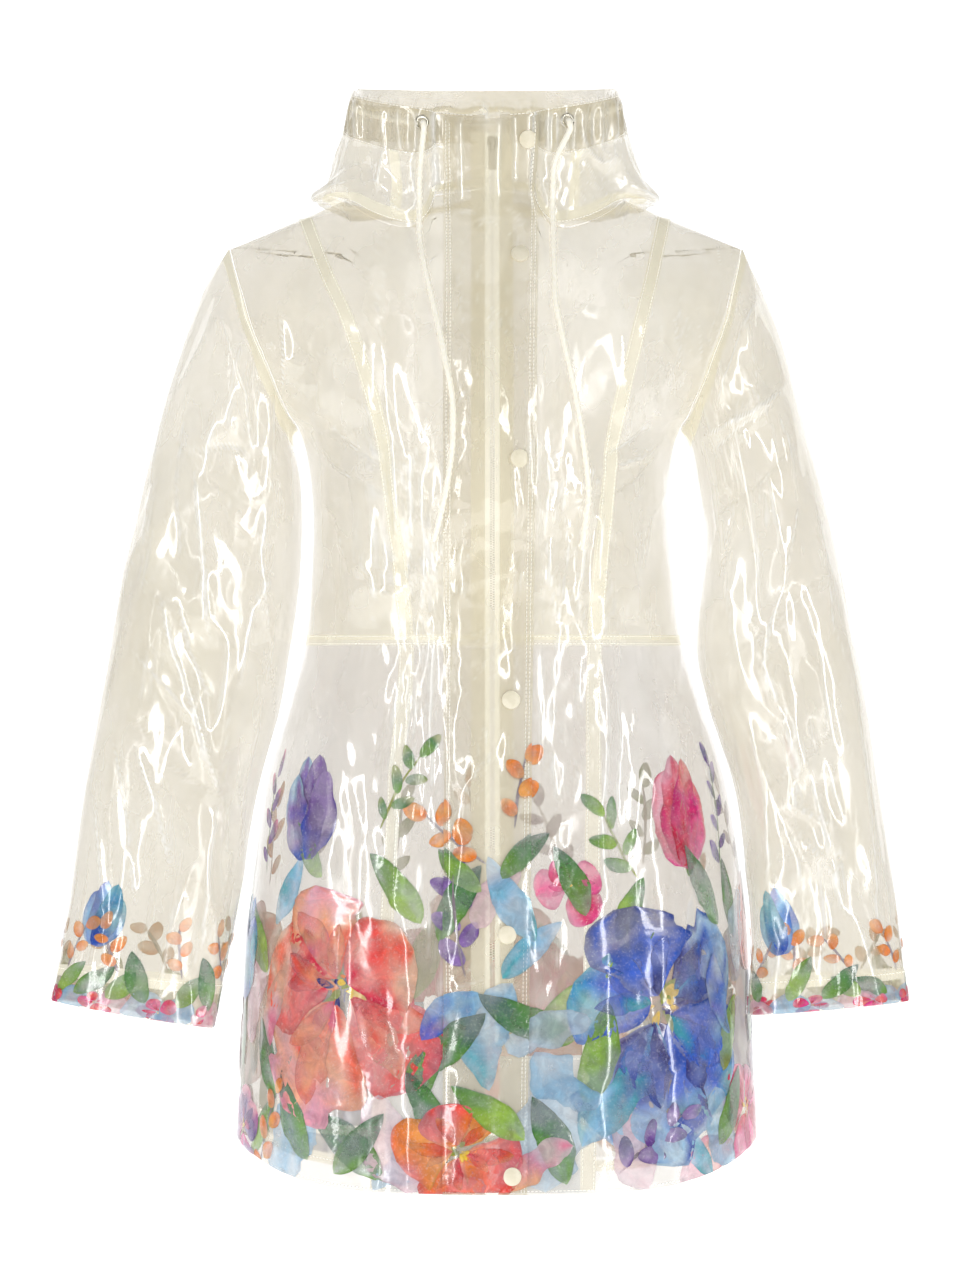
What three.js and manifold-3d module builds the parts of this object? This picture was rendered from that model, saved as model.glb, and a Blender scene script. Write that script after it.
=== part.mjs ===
// A hooded, zip-front raincoat of clear film, as it is worn: hollow, with the hood down behind a
// funnel collar. Millimetres, +Z up. The origin is the middle of the neck's base, the coat faces
// -Y, and +X is the wearer's left.

import * as THREE from 'three';
import Module from 'manifold-3d';
import { mergeVertices } from 'three/addons/utils/BufferGeometryUtils.js';

// Cloth, tapes and the gaps between them
const FILM = 1.5;
const TAPE = 1.0;
const SEAM_GAP = 0.3;
const TAPE_GAP = 0.7;
const SHOULDER_GAP = 0.75;
const LAYER_1 = FILM / 2 + TAPE_GAP;
const LAYER_2 = LAYER_1 + TAPE + SEAM_GAP;
const LAYER_3 = LAYER_2 + TAPE + SEAM_GAP;

// Body: the shoulder seam's line, the neck, the armholes and the levels of the seams
const SHOULDER_DROP = 0.4227;
const SHOULDER_TOP = 53.6;
const SHOULDER_ROUND = 110;
const NECK_HALF_WIDTH = 117;
const NECK_FRONT = 66;
const NECK_BACK = 64;
const ARMHOLE_TOP = -36;
const UNDERARM = -190;
const ARMHOLE_TURN = 26 * Math.PI / 180;
const WAIST = -365;
const HEM_CENTRE = -814;
const HEM_SIDE_RISE = 34;
const HEM_TAPE_ABOVE = 22;
const HALF_TAPE = 6;

// The coat leans a little to one side: how far its middle stands from x = 0, top and bottom
const LEAN_TOP = -4;
const LEAN_CHANGE = 10;
const LEAN_LENGTH = 500;

// Front closure
const ZIP_X = 2;
const ZIP_HALF_GAP = 6;
const ZIP_BOTTOM = -694;
const ZIP_TAPE_HALF = 17.5;
const TEETH_HALF = 1.8;
const FLAP_RIGHT = -40;
const FLAP_LEFT_TOP = 39;
const FLAP_LEFT_HEM = 28;
const FLAP_LIFT = 5;
const FLAP_LIFT_AT_PULL = 11;
const SNAP_RADIUS = 7.5;
const SNAP_GAP = 0.5;
const SLIDER_ROW = 5;
const CORD_RADIUS = 2.5;
const CORD_SIDES = 8;
const CORD_STEPS = 36;
const EYELET_RADIUS = 6;
const EYELET_HOLE = 3.2;
const EYELET_THICK = 1.2;
const EYELET_LIFT = FILM / 2 + 0.9;

// Sections of the body, from the neck down: half width, and depth at the middle front and back
const BODY_SECTIONS = [
  { z: 30, halfWidth: 205, front: 58, back: 82 },
  { z: -25, halfWidth: 212, front: 69, back: 92 },
  { z: -60, halfWidth: 221, front: 84, back: 99 },
  { z: -100, halfWidth: 221, front: 99, back: 106 },
  { z: -150, halfWidth: 195, front: 114, back: 110 },
  { z: -175, halfWidth: 175, front: 119, back: 110 },
  { z: -190, halfWidth: 160, front: 122, back: 110 },
  { z: -240, halfWidth: 151, front: 124, back: 106 },
  { z: -300, halfWidth: 152, front: 114, back: 97 },
  { z: -365, halfWidth: 158, front: 107, back: 91 },
  { z: -416, halfWidth: 172, front: 109, back: 98 },
  { z: -458, halfWidth: 186, front: 114, back: 106 },
  { z: -500, halfWidth: 196, front: 120, back: 115 },
  { z: -584, halfWidth: 207, front: 131, back: 128 },
  { z: -670, halfWidth: 212, front: 139, back: 137 },
  { z: -760, halfWidth: 217, front: 146, back: 144 },
  { z: -830, halfWidth: 219, front: 150, back: 148 },
];

// Princess seams: distance from the body's middle on the wearer's right and left
const PRINCESS_SEAMS = [
  { z: 0, right: 155, left: 153 },
  { z: -60, right: 133, left: 138 },
  { z: -105, right: 114, left: 126 },
  { z: -190, right: 90, left: 104 },
  { z: -238, right: 84, left: 97 },
  { z: -365, right: 73, left: 83 },
  { z: -500, right: 84, left: 78 },
  { z: -700, right: 95, left: 75 },
  { z: -830, right: 98, left: 73 },
];

// Sleeve sections from the shoulder to the cuff, seen from the front: the outer and inner edge,
// how far the middle stands forward, and half the depth
const RIGHT_SLEEVE = [
  { outerX: -239, outerZ: -71, innerX: -163, innerZ: -198, y: -2, depth: 56 },
  { outerX: -259, outerZ: -122, innerX: -157, innerZ: -232, y: -4, depth: 58 },
  { outerX: -279, outerZ: -184, innerX: -156, innerZ: -278, y: -6, depth: 57 },
  { outerX: -297, outerZ: -265, innerX: -160, innerZ: -328, y: -10, depth: 54 },
  { outerX: -311, outerZ: -332, innerX: -167, innerZ: -378, y: -14, depth: 51 },
  { outerX: -325, outerZ: -416, innerX: -176, innerZ: -428, y: -20, depth: 47 },
  { outerX: -338, outerZ: -490, innerX: -194, innerZ: -494, y: -26, depth: 42 },
  { outerX: -348, outerZ: -567, innerX: -207, innerZ: -574, y: -32, depth: 37 },
  { outerX: -356, outerZ: -622, innerX: -218, innerZ: -634, y: -38, depth: 32 },
  { outerX: -364, outerZ: -664, innerX: -229, innerZ: -687, y: -44, depth: 27 },
];
const LEFT_SLEEVE = [
  { outerX: 228, outerZ: -71, innerX: 167, innerZ: -203, y: -2, depth: 56 },
  { outerX: 247, outerZ: -120, innerX: 174, innerZ: -239, y: -4, depth: 58 },
  { outerX: 264, outerZ: -181, innerX: 180, innerZ: -281, y: -6, depth: 57 },
  { outerX: 284, outerZ: -260, innerX: 177, innerZ: -323, y: -10, depth: 54 },
  { outerX: 300, outerZ: -340, innerX: 173, innerZ: -374, y: -14, depth: 51 },
  { outerX: 313, outerZ: -407, innerX: 184, innerZ: -424, y: -20, depth: 47 },
  { outerX: 325, outerZ: -487, innerX: 204, innerZ: -495, y: -27, depth: 42 },
  { outerX: 337, outerZ: -571, innerX: 215, innerZ: -575, y: -34, depth: 37 },
  { outerX: 344, outerZ: -626, innerX: 217, innerZ: -634, y: -41, depth: 32 },
  { outerX: 348, outerZ: -664, innerX: 214, innerZ: -676, y: -48, depth: 27 },
];
const CUFF_TAPE_ABOVE = 28;
const ELBOW_ROW = 5;
const SLEEVE_TRIM = [0.0028, 0.003];

// The hood's wall from the neck seam (row 0) to the edge of its opening (row 8): how far each row
// stands out from the neck seam and above it, at the front, at the sides and at the back
const HOOD_ROWS = [
  { frontOut: 0, frontUp: 0, sideOut: 0, sideUp: 0, backOut: 0, backUp: 0 },
  { frontOut: -1, frontUp: 10, sideOut: 14, sideUp: -1, backOut: 22, backUp: -7 },
  { frontOut: -1, frontUp: 22, sideOut: 28, sideUp: 0, backOut: 48, backUp: -7 },
  { frontOut: 0, frontUp: 34, sideOut: 15, sideUp: 16, backOut: 60, backUp: 10 },
  { frontOut: 1, frontUp: 46, sideOut: 7, sideUp: 36, backOut: 61, backUp: 32 },
  { frontOut: 2, frontUp: 58, sideOut: 1, sideUp: 57, backOut: 50, backUp: 52 },
  { frontOut: 3, frontUp: 70, sideOut: -2, sideUp: 69, backOut: 40, backUp: 64 },
  { frontOut: 3, frontUp: 83, sideOut: -5, sideUp: 81, backOut: 26, backUp: 76 },
  { frontOut: 3, frontUp: 95, sideOut: -8.5, sideUp: 94, backOut: 10, backUp: 87 },
];
const HOOD_RIM = HOOD_ROWS.length - 1;
const HOOD_CORD_ROW = 7;
const CASING_ROW = 5;
const HOOD_BASE = 1.8;
const RIM_FRONT = 70;
const RIM_SIDE_RISE = 28;
const RIM_BACK_RISE = 7;
const NECK_ANGLES = [14, 27, 40, 53, 66, 78, 90];
const BACK_NECK_ANGLES = [20, 45, 70, 90];
const HOOD_SEAM = 40;
const EYELET_RIGHT = -26;
const EYELET_LEFT = 34;

// Largest folds: soft ridges (height above 0) and troughs, each from a start to an end point as
// seen from the front, on the front (side -1) or the back (side 1)
const BODY_FOLDS = [
  { side: -1, x1: -112, z1: -215, x2: -102, z2: -345, width: 14, height: 5 },
  { side: -1, x1: 64, z1: -225, x2: 60, z2: -345, width: 10, height: 3 },
  { side: -1, x1: 130, z1: -215, x2: 118, z2: -345, width: 14, height: 5 },
  { side: -1, x1: -128, z1: -400, x2: -158, z2: -790, width: 24, height: 7 },
  { side: -1, x1: 132, z1: -400, x2: 168, z2: -790, width: 24, height: 7 },
  { side: -1, x1: -66, z1: -395, x2: -64, z2: -810, width: 18, height: 4 },
  { side: -1, x1: 88, z1: -395, x2: 98, z2: -810, width: 18, height: 4 },
  { side: -1, x1: -170, z1: -85, x2: -148, z2: -175, width: 16, height: -4 },
  { side: -1, x1: 176, z1: -80, x2: 150, z2: -180, width: 16, height: -4 },
  { side: 1, x1: -95, z1: -235, x2: -70, z2: -355, width: 20, height: 5 },
  { side: 1, x1: 95, z1: -235, x2: 72, z2: -355, width: 20, height: 5 },
  { side: 1, x1: -120, z1: -400, x2: -150, z2: -790, width: 26, height: 8 },
  { side: 1, x1: -30, z1: -420, x2: -38, z2: -800, width: 26, height: 6 },
  { side: 1, x1: 60, z1: -410, x2: 70, z2: -800, width: 26, height: 7 },
  { side: 1, x1: 130, z1: -400, x2: 162, z2: -790, width: 24, height: 7 },
];
const RIGHT_SLEEVE_FOLDS = [
  { side: -1, x1: -222, z1: -90, x2: -200, z2: -165, width: 14, height: 6 },
  { side: -1, x1: -200, z1: -160, x2: -247, z2: -214, width: 13, height: 5 },
  { side: -1, x1: -240, z1: -220, x2: -230, z2: -365, width: 15, height: 5 },
  { side: -1, x1: -274, z1: -332, x2: -235, z2: -475, width: 15, height: 5 },
  { side: -1, x1: -214, z1: -400, x2: -240, z2: -560, width: 14, height: 4 },
  { side: 1, x1: -270, z1: -250, x2: -215, z2: -360, width: 16, height: 5 },
  { side: 1, x1: -290, z1: -380, x2: -230, z2: -500, width: 16, height: 5 },
];
const LEFT_SLEEVE_FOLDS = [
  { side: -1, x1: 226, z1: -75, x2: 196, z2: -162, width: 14, height: 6 },
  { side: -1, x1: 248, z1: -158, x2: 190, z2: -196, width: 12, height: 5 },
  { side: -1, x1: 250, z1: -200, x2: 240, z2: -325, width: 14, height: 5 },
  { side: -1, x1: 240, z1: -330, x2: 258, z2: -475, width: 15, height: 5 },
  { side: -1, x1: 292, z1: -520, x2: 248, z2: -565, width: 13, height: 4 },
  { side: 1, x1: 262, z1: -240, x2: 212, z2: -350, width: 16, height: 5 },
  { side: 1, x1: 290, z1: -390, x2: 236, z2: -510, width: 16, height: 5 },
];

// Snaps on the flap, and the way the free ends of the hood's cord hang below their eyelets
const SNAPS = [
  { x: 30, z: 48 },
  { x: 25, z: -51 },
  { x: 24, z: -219 },
  { x: 17, z: -415 },
  { x: 14, z: -605 },
  { x: 18, z: -799 },
];
const RIGHT_CORD = [
  { x: -56.3, y: -64, z: 39.7 },
  { x: -58, y: -62.6, z: 18 },
  { x: -58, y: -63.4, z: -4 },
  { x: -58, y: -70, z: -28.4 },
  { x: -54.5, y: -84, z: -52.8 },
  { x: -47.7, y: -97.4, z: -82.6 },
  { x: -41.1, y: -109.5, z: -111.9 },
  { x: -35.3, y: -120.5, z: -141.2 },
  { x: -30.4, y: -126.6, z: -170.1 },
  { x: -30.3, y: -130, z: -202.8 },
  { x: -33.6, y: -130, z: -231.3 },
  { x: -39.3, y: -127.4, z: -259.6 },
  { x: -45.9, y: -120, z: -285 },
];
const LEFT_CORD = [
  { x: 54.4, y: -63.6, z: 31.5 },
  { x: 52.6, y: -62.6, z: 12 },
  { x: 52, y: -63, z: -6 },
  { x: 52.4, y: -71, z: -26 },
  { x: 52.6, y: -79.5, z: -44.1 },
  { x: 53.2, y: -90, z: -66 },
  { x: 53.9, y: -98.2, z: -86.7 },
  { x: 59.5, y: -106.8, z: -115.9 },
  { x: 66.7, y: -113, z: -148.2 },
  { x: 71.6, y: -114.8, z: -173.6 },
  { x: 75.7, y: -114.6, z: -198.1 },
  { x: 80.6, y: -112.4, z: -242.1 },
  { x: 78.2, y: -111.6, z: -267.3 },
  { x: 75.8, y: -109.4, z: -292 },
];

// Finishes
const FINISH = {
  film: { color: 0xe9e2d0, roughness: 0.2, metalness: 0 },
  print: { color: 0xe3cfc6, roughness: 0.25, metalness: 0 },
  tape: { color: 0xf4f1e4, roughness: 0.6, metalness: 0 },
  cord: { color: 0xefe9d8, roughness: 0.8, metalness: 0 },
  snap: { color: 0xf0ead6, roughness: 0.35, metalness: 0 },
  metal: { color: 0xb9b3a2, roughness: 0.3, metalness: 1 },
};

const coat = new THREE.Group();
coat.name = 'raincoat';

const wasm = await Module();
wasm.setup();

const lerp = THREE.MathUtils.lerp;
const clamp = THREE.MathUtils.clamp;
const smoothstep = THREE.MathUtils.smoothstep;
const degrees = THREE.MathUtils.degToRad;

function span(start, end, cells) {
  return Array.from({ length: cells + 1 }, (_, i) => lerp(start, end, i / cells));
}

function catmullRom(before, start, end, after, f) {
  const a = 2 * start;
  const b = end - before;
  const c = 2 * before - 5 * start + 4 * end - after;
  const d = 3 * start - before - 3 * end + after;
  return 0.5 * (a + (b + (c + d * f) * f) * f);
}

// A column of a table of levels (z falling from row to row), smooth between its rows
function column(table, name, z) {
  let k = 0;
  while (k < table.length - 2 && z < table[k + 1].z) k += 1;
  const f = clamp((table[k].z - z) / (table[k].z - table[k + 1].z), 0, 1);
  const slope = (i) => {
    const i0 = Math.max(i - 1, 0);
    const i1 = Math.min(i + 1, table.length - 1);
    return (table[i1][name] - table[i0][name]) / (table[i1].z - table[i0].z);
  };
  const step = table[k + 1].z - table[k].z;
  const cubic = (f ** 3 - 2 * f ** 2 + f) * slope(k) + (f ** 3 - f ** 2) * slope(k + 1);
  return lerp(table[k][name], table[k + 1][name], f * f * (3 - 2 * f)) + cubic * step;
}

function lean(z) {
  return LEAN_TOP + LEAN_CHANGE * clamp(-z / LEAN_LENGTH, 0, 1);
}

// Height of the folds at a point seen from the front, in millimetres
function foldHeight(folds, side, x, z) {
  let height = 0;
  for (const fold of folds) {
    if (fold.side !== side) continue;
    const dx = fold.x2 - fold.x1;
    const dz = fold.z2 - fold.z1;
    const along = ((x - fold.x1) * dx + (z - fold.z1) * dz) / (dx * dx + dz * dz);
    const f = clamp(along, 0, 1);
    const away = Math.hypot(x - fold.x1 - f * dx, z - fold.z1 - f * dz) / fold.width;
    const ends = smoothstep(along, -0.1, 0.25) * (1 - smoothstep(along, 0.8, 1.15));
    height += fold.height * Math.exp(-away * away) * ends;
  }
  return height;
}

// The body: level sections are ellipses of the table's sizes, and above SHOULDER_ROUND under the
// shoulder seam their depth closes to the seam in a quarter circle
function shoulderLine(x) {
  return SHOULDER_TOP - SHOULDER_DROP * Math.abs(x);
}

function squaredRound(x, z) {
  const s = (shoulderLine(x) - z) / SHOULDER_ROUND;
  return s < 1 ? s * (2 - s) : 1;
}

function bodyLevel(x, y, z) {
  const depth = column(BODY_SECTIONS, y < 0 ? 'front' : 'back', z);
  const width = column(BODY_SECTIONS, 'halfWidth', z);
  return squaredRound(x, z) * (1 - (x / width) ** 2) - (y / depth) ** 2;
}

// A point of the body at distance x from its middle, at level z, on the front (-1) or back (1)
function bodyAt(side, x, z) {
  const depth = column(BODY_SECTIONS, side < 0 ? 'front' : 'back', z);
  const width = column(BODY_SECTIONS, 'halfWidth', z);
  const inside = Math.max(0, squaredRound(x, z) * (1 - (x / width) ** 2));
  const y = side * Math.max(SHOULDER_GAP, depth * Math.sqrt(inside));
  const e = 0.05;
  const nearY = side * Math.max(Math.abs(y), e);
  const normal = new THREE.Vector3(
    bodyLevel(x - e, nearY, z) - bodyLevel(x + e, nearY, z),
    bodyLevel(x, nearY - side * e, z) - bodyLevel(x, nearY + side * e, z),
    bodyLevel(x, nearY, z - e) - bodyLevel(x, nearY, z + e),
  );
  normal.y *= side;
  normal.normalize();
  const point = new THREE.Vector3(x + lean(z), y, z);
  const face = clamp(-side * normal.y * -1 * 1.4, 0, 1);
  point.addScaledVector(normal, face * foldHeight(BODY_FOLDS, side, point.x, z));
  return { point, normal };
}

function armholeTurn(z) {
  const middle = (ARMHOLE_TOP + UNDERARM) / 2;
  const half = (ARMHOLE_TOP - UNDERARM) / 2;
  return ARMHOLE_TURN * Math.sqrt(Math.max(0, 1 - ((z - middle) / half) ** 2));
}

function edgeAngle(z) {
  return Math.PI / 2 - armholeTurn(z);
}

function hemLevel(angle) {
  return HEM_CENTRE + HEM_SIDE_RISE * Math.abs(Math.sin(angle)) ** 5;
}

function princess(wearer, z) {
  return column(PRINCESS_SEAMS, wearer < 0 ? 'right' : 'left', z);
}

function frontEdge(wearer, z) {
  return ZIP_HALF_GAP + wearer * (ZIP_X - lean(z));
}

function sectionAngle(x, z) {
  return Math.asin(clamp(x / column(BODY_SECTIONS, 'halfWidth', z), -1, 1));
}

// Neck seam: an oval laid on the body's surface, by its angle from the middle front
function neckSeam(angle) {
  const x = NECK_HALF_WIDTH * Math.sin(angle);
  const side = Math.cos(angle) > 0 ? -1 : 1;
  const y = -Math.cos(angle) * (side < 0 ? NECK_FRONT : NECK_BACK);
  let z = 0;
  for (let turn = 0; turn < 8; turn += 1) {
    const depth = column(BODY_SECTIONS, side < 0 ? 'front' : 'back', z);
    const width = column(BODY_SECTIONS, 'halfWidth', z);
    const round = Math.min(1, Math.abs(y) / (depth * Math.sqrt(1 - (x / width) ** 2)));
    z = shoulderLine(x) - SHOULDER_ROUND * (1 - Math.sqrt(1 - round * round));
  }
  return new THREE.Vector3(x + lean(z), y, z);
}

// Level of a bodice panel's point: straight from the waist to the underarm and on to where the
// shoulder starts to round, and then round the shoulder to its top edge
const BODICE_ROWS = [0, 0.12, 0.24, 0.36, 0.47, 0.51, 0.545, 0.58, 0.66, 0.74, 0.82, 0.9, 1];
const UNDERARM_ROW = 0.47;
const ROUND_ROW = 0.58;
const LEAST_SHARE = 0.0004;

function bodiceLevel(side, v, x) {
  const bottom = WAIST + SEAM_GAP / 2;
  const round = shoulderLine(x) - SHOULDER_ROUND;
  const level = Math.min(UNDERARM, round - 10);
  if (v <= UNDERARM_ROW) return lerp(bottom, level, v / UNDERARM_ROW);
  if (v <= ROUND_ROW) return lerp(level, round, (v - UNDERARM_ROW) / (ROUND_ROW - UNDERARM_ROW));
  const f = (v - ROUND_ROW) / (1 - ROUND_ROW);
  const z = shoulderLine(x);
  const neckDepth = side < 0 ? NECK_FRONT : NECK_BACK;
  const across = Math.min(1, Math.abs(x) / NECK_HALF_WIDTH);
  const target = neckDepth * Math.sqrt(1 - across * across) + SEAM_GAP;
  let top = z;
  for (let turn = 0; turn < 8; turn += 1) {
    const depth = column(BODY_SECTIONS, side < 0 ? 'front' : 'back', top);
    const width = column(BODY_SECTIONS, 'halfWidth', top);
    const share = Math.sqrt(Math.max(LEAST_SHARE, 1 - (x / width) ** 2));
    const round2 = Math.min(1, target / (depth * share));
    top = z - SHOULDER_ROUND * (1 - Math.sqrt(1 - round2 * round2));
  }
  const topAngle = Math.acos(clamp(1 - (z - top) / SHOULDER_ROUND, -1, 1));
  const angle = lerp(Math.PI / 2, topAngle, f);
  return z - SHOULDER_ROUND * (1 - Math.cos(angle));
}

// A bodice point between two seams given as angles of the section at each level
function bodicePoint(side, wearer, inner, outer, u, v) {
  let z = WAIST;
  let x = 0;
  for (let turn = 0; turn < 8; turn += 1) {
    const angle = lerp(inner(z), outer(z), u);
    x = column(BODY_SECTIONS, 'halfWidth', z) * Math.sin(angle);
    z = bodiceLevel(side, v, Math.abs(x));
  }
  return bodyAt(side, wearer * x, z);
}

function skirtPoint(side, wearer, inner, outer, u, v, bottomCut = 0) {
  let z = HEM_CENTRE;
  let angle = 0;
  for (let turn = 0; turn < 8; turn += 1) {
    angle = lerp(inner(z), outer(z), u);
    z = lerp(WAIST - SEAM_GAP / 2, hemLevel(angle) + bottomCut, v);
  }
  const x = column(BODY_SECTIONS, 'halfWidth', z) * Math.sin(angle);
  return bodyAt(side, wearer * x, z);
}

// A grid of points with outward normals. Pieces that lie on a panel are made from its grid, so
// on(u, v) follows the panel's own flat triangles, and runs straight on past its edges.
function gridOf(at, us, vs) {
  const nodes = vs.map((v) => us.map((u) => at(u, v)));
  const cell = (knots, value) => {
    let k = 0;
    while (k < knots.length - 2 && value >= knots[k + 1]) k += 1;
    return [k, (value - knots[k]) / (knots[k + 1] - knots[k])];
  };
  const mix = (name, corners, fu, fv) => {
    const [a, b, c, d] = corners.map((corner) => corner[name]);
    const result = a.clone();
    if (fu >= fv) return result.addScaledVector(b, fu).addScaledVector(a, -fu)
      .addScaledVector(c, fv).addScaledVector(b, -fv);
    return result.addScaledVector(d, fv).addScaledVector(a, -fv)
      .addScaledVector(c, fu).addScaledVector(d, -fu);
  };
  const on = (u, v) => {
    const [i, fu] = cell(us, u);
    const [j, fv] = cell(vs, v);
    const corners = [nodes[j][i], nodes[j][i + 1], nodes[j + 1][i + 1], nodes[j + 1][i]];
    return { point: mix('point', corners, fu, fv), normal: mix('normal', corners, fu, fv) };
  };
  return { us, vs, nodes, on };
}

// A wall between two distances from a grid. A closed one runs on from its last column to its
// first.
function wall({ us, vs, nodes }, inner, outer, closed = false) {
  const positions = [];
  const faces = [];
  for (const distance of [outer, inner]) {
    vs.forEach((v, j) => us.forEach((u, i) => {
      const { point, normal } = nodes[j][i];
      const offset = typeof distance === 'function' ? distance(u, v) : distance;
      positions.push(...point.clone().addScaledVector(normal, offset).toArray());
    }));
  }
  const across = us.length;
  const up = vs.length;
  const id = (layer, i, j) => layer * across * up + j * across + (i % across);
  const quad = (a, b, c, d) => faces.push(a, b, c, a, c, d);
  const cells = closed ? across : across - 1;
  for (let j = 0; j < up - 1; j += 1) {
    for (let i = 0; i < cells; i += 1) {
      const [a, b, c, d] = [[i, j], [i + 1, j], [i + 1, j + 1], [i, j + 1]];
      quad(id(0, ...a), id(0, ...b), id(0, ...c), id(0, ...d));
      faces.push(id(1, ...a), id(1, ...c), id(1, ...b), id(1, ...a), id(1, ...d), id(1, ...c));
    }
    if (!closed) {
      quad(id(0, 0, j), id(0, 0, j + 1), id(1, 0, j + 1), id(1, 0, j));
      const last = across - 1;
      quad(id(0, last, j), id(1, last, j), id(1, last, j + 1), id(0, last, j + 1));
    }
  }
  for (let i = 0; i < cells; i += 1) {
    quad(id(0, i, 0), id(1, i, 0), id(1, i + 1, 0), id(0, i + 1, 0));
    const last = up - 1;
    quad(id(0, i, last), id(0, i + 1, last), id(1, i + 1, last), id(1, i, last));
  }
  return turnedOut(positions, faces);
}

// Faces point outwards: they are turned round if the volume comes out below zero
function turnedOut(positions, faces) {
  const vertex = (i) => new THREE.Vector3().fromArray(positions, 3 * i);
  let volume = 0;
  for (let f = 0; f < faces.length; f += 3) {
    const cross = vertex(faces[f + 1]).cross(vertex(faces[f + 2]));
    volume += vertex(faces[f]).dot(cross);
  }
  if (volume < 0) faces.reverse();
  const geometry = new THREE.BufferGeometry();
  geometry.setAttribute('position', new THREE.Float32BufferAttribute(positions, 3));
  geometry.setIndex(faces);
  return geometry;
}

function add(name, geometry, finish) {
  const mesh = new THREE.Mesh(geometry, new THREE.MeshStandardMaterial(FINISH[finish]));
  mesh.name = name;
  coat.add(mesh);
  return mesh;
}

// Normals of a surface given only as points, from its neighbours
function surface(pointAt, stepU, stepV) {
  return (u, v) => {
    const alongU = pointAt(u + stepU, v).sub(pointAt(u - stepU, v));
    const alongV = pointAt(u, v + stepV).sub(pointAt(u, v - stepV));
    return { point: pointAt(u, v), normal: alongU.cross(alongV).normalize() };
  };
}

// Columns of a panel between two seams, as shares of the way from one to the other: the outermost
// are trimmed by half the gap at a seam
function trimmed(shares, width) {
  const cut = SEAM_GAP / 2 / width;
  return [cut, ...shares.slice(1, -1), 1 - cut];
}

function shareAt(inner, outer, x, z) {
  return (sectionAngle(x, z) - inner(z)) / (outer(z) - inner(z));
}

const HALF = FILM / 2;
const BACK_WIDTH = 400;
const SKIRT_ROWS = span(0, 1, 9);
const panels = {};

function addPanel(name, grid, finish) {
  panels[name] = grid;
  add(name, wall(grid, -HALF, HALF), finish);
}

// The part of a grid between two columns and two rows. A cut inside the grid is trimmed by half
// the gap at a seam, given as a share of the columns or rows.
function partOf(grid, columns, rows, trim) {
  const between = (knots, [low, high], cut) => {
    const first = low === knots[0] ? low : low + cut;
    const last = high === knots[knots.length - 1] ? high : high - cut;
    return [first, ...knots.filter((knot) => knot > first && knot < last), last];
  };
  const us = between(grid.us, columns, trim[0]);
  const vs = between(grid.vs, rows, trim[1]);
  return { us, vs, nodes: vs.map((v) => us.map((u) => grid.on(u, v))) };
}

// A panel that is wide round the body is two nodes, each from one side to the middle
function addHalves(name, grid, middle, trim, finish, [firstName, lastName]) {
  const { us, vs } = grid;
  const rows = [vs[0], vs[vs.length - 1]];
  panels[name] = grid;
  const first = partOf(grid, [us[0], middle], rows, [trim, 0]);
  const last = partOf(grid, [middle, us[us.length - 1]], rows, [trim, 0]);
  add(`${name}_${firstName}`, wall(first, -HALF, HALF), finish);
  add(`${name}_${lastName}`, wall(last, -HALF, HALF), finish);
}

// Front and back panels. The bodice has a column at each of NECK_ANGLES round the neck seam,
// where the hood's columns stand too, and the skirt has the same columns as the bodice.
const princessAngle = (wearer) => (z) => sectionAngle(princess(wearer, z), z);
const frontAngle = (wearer) => (z) => sectionAngle(frontEdge(wearer, z), z);

function addFrontPanels(wearer, name) {
  const inner = frontAngle(wearer);
  const seam = princessAngle(wearer);
  const neckShares = NECK_ANGLES.map((angle) => {
    const { x, z } = neckSeam(degrees(angle));
    return shareAt(inner, seam, x - lean(z), z);
  });
  const centre = trimmed([0, ...neckShares, 1], 80);
  const side = trimmed(span(0, 1, 6), 35);
  addPanel(`front_bodice_centre_${name}`, gridOf(
    (u, v) => bodicePoint(-1, wearer, inner, seam, u, v), centre, BODICE_ROWS,
  ), 'film');
  addPanel(`front_bodice_side_${name}`, gridOf(
    (u, v) => bodicePoint(-1, wearer, seam, edgeAngle, u, v), side, BODICE_ROWS,
  ), 'film');
  addPanel(`front_skirt_centre_${name}`, gridOf(
    (u, v) => skirtPoint(-1, wearer, inner, seam, u, v), centre, SKIRT_ROWS,
  ), 'print');
  addPanel(`front_skirt_side_${name}`, gridOf(
    (u, v) => skirtPoint(-1, wearer, seam, edgeAngle, u, v), side, SKIRT_ROWS,
  ), 'print');
}

function addBackPanels() {
  const fromEdge = (z) => -edgeAngle(z);
  const neckShares = BACK_NECK_ANGLES.map((angle) => {
    const { x, z } = neckSeam(degrees(180 - angle));
    return shareAt(fromEdge, edgeAngle, x - lean(z), z);
  });
  const shoulder = [0.76, 0.85, 0.93, 1];
  const half = [0.5, ...neckShares, ...shoulder];
  const mirror = half.slice(1).reverse().map((share) => 1 - share);
  const columns = trimmed([...mirror, ...half], 160);
  const trim = SEAM_GAP / 2 / BACK_WIDTH;
  addHalves('back_bodice', gridOf(
    (u, v) => bodicePoint(1, 1, fromEdge, edgeAngle, u, v), columns, BODICE_ROWS,
  ), 0.5, trim, 'film', ['right', 'left']);
  addHalves('back_skirt', gridOf(
    (u, v) => skirtPoint(1, 1, fromEdge, edgeAngle, u, v), columns, SKIRT_ROWS,
  ), 0.5, trim, 'print', ['right', 'left']);
}

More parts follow.
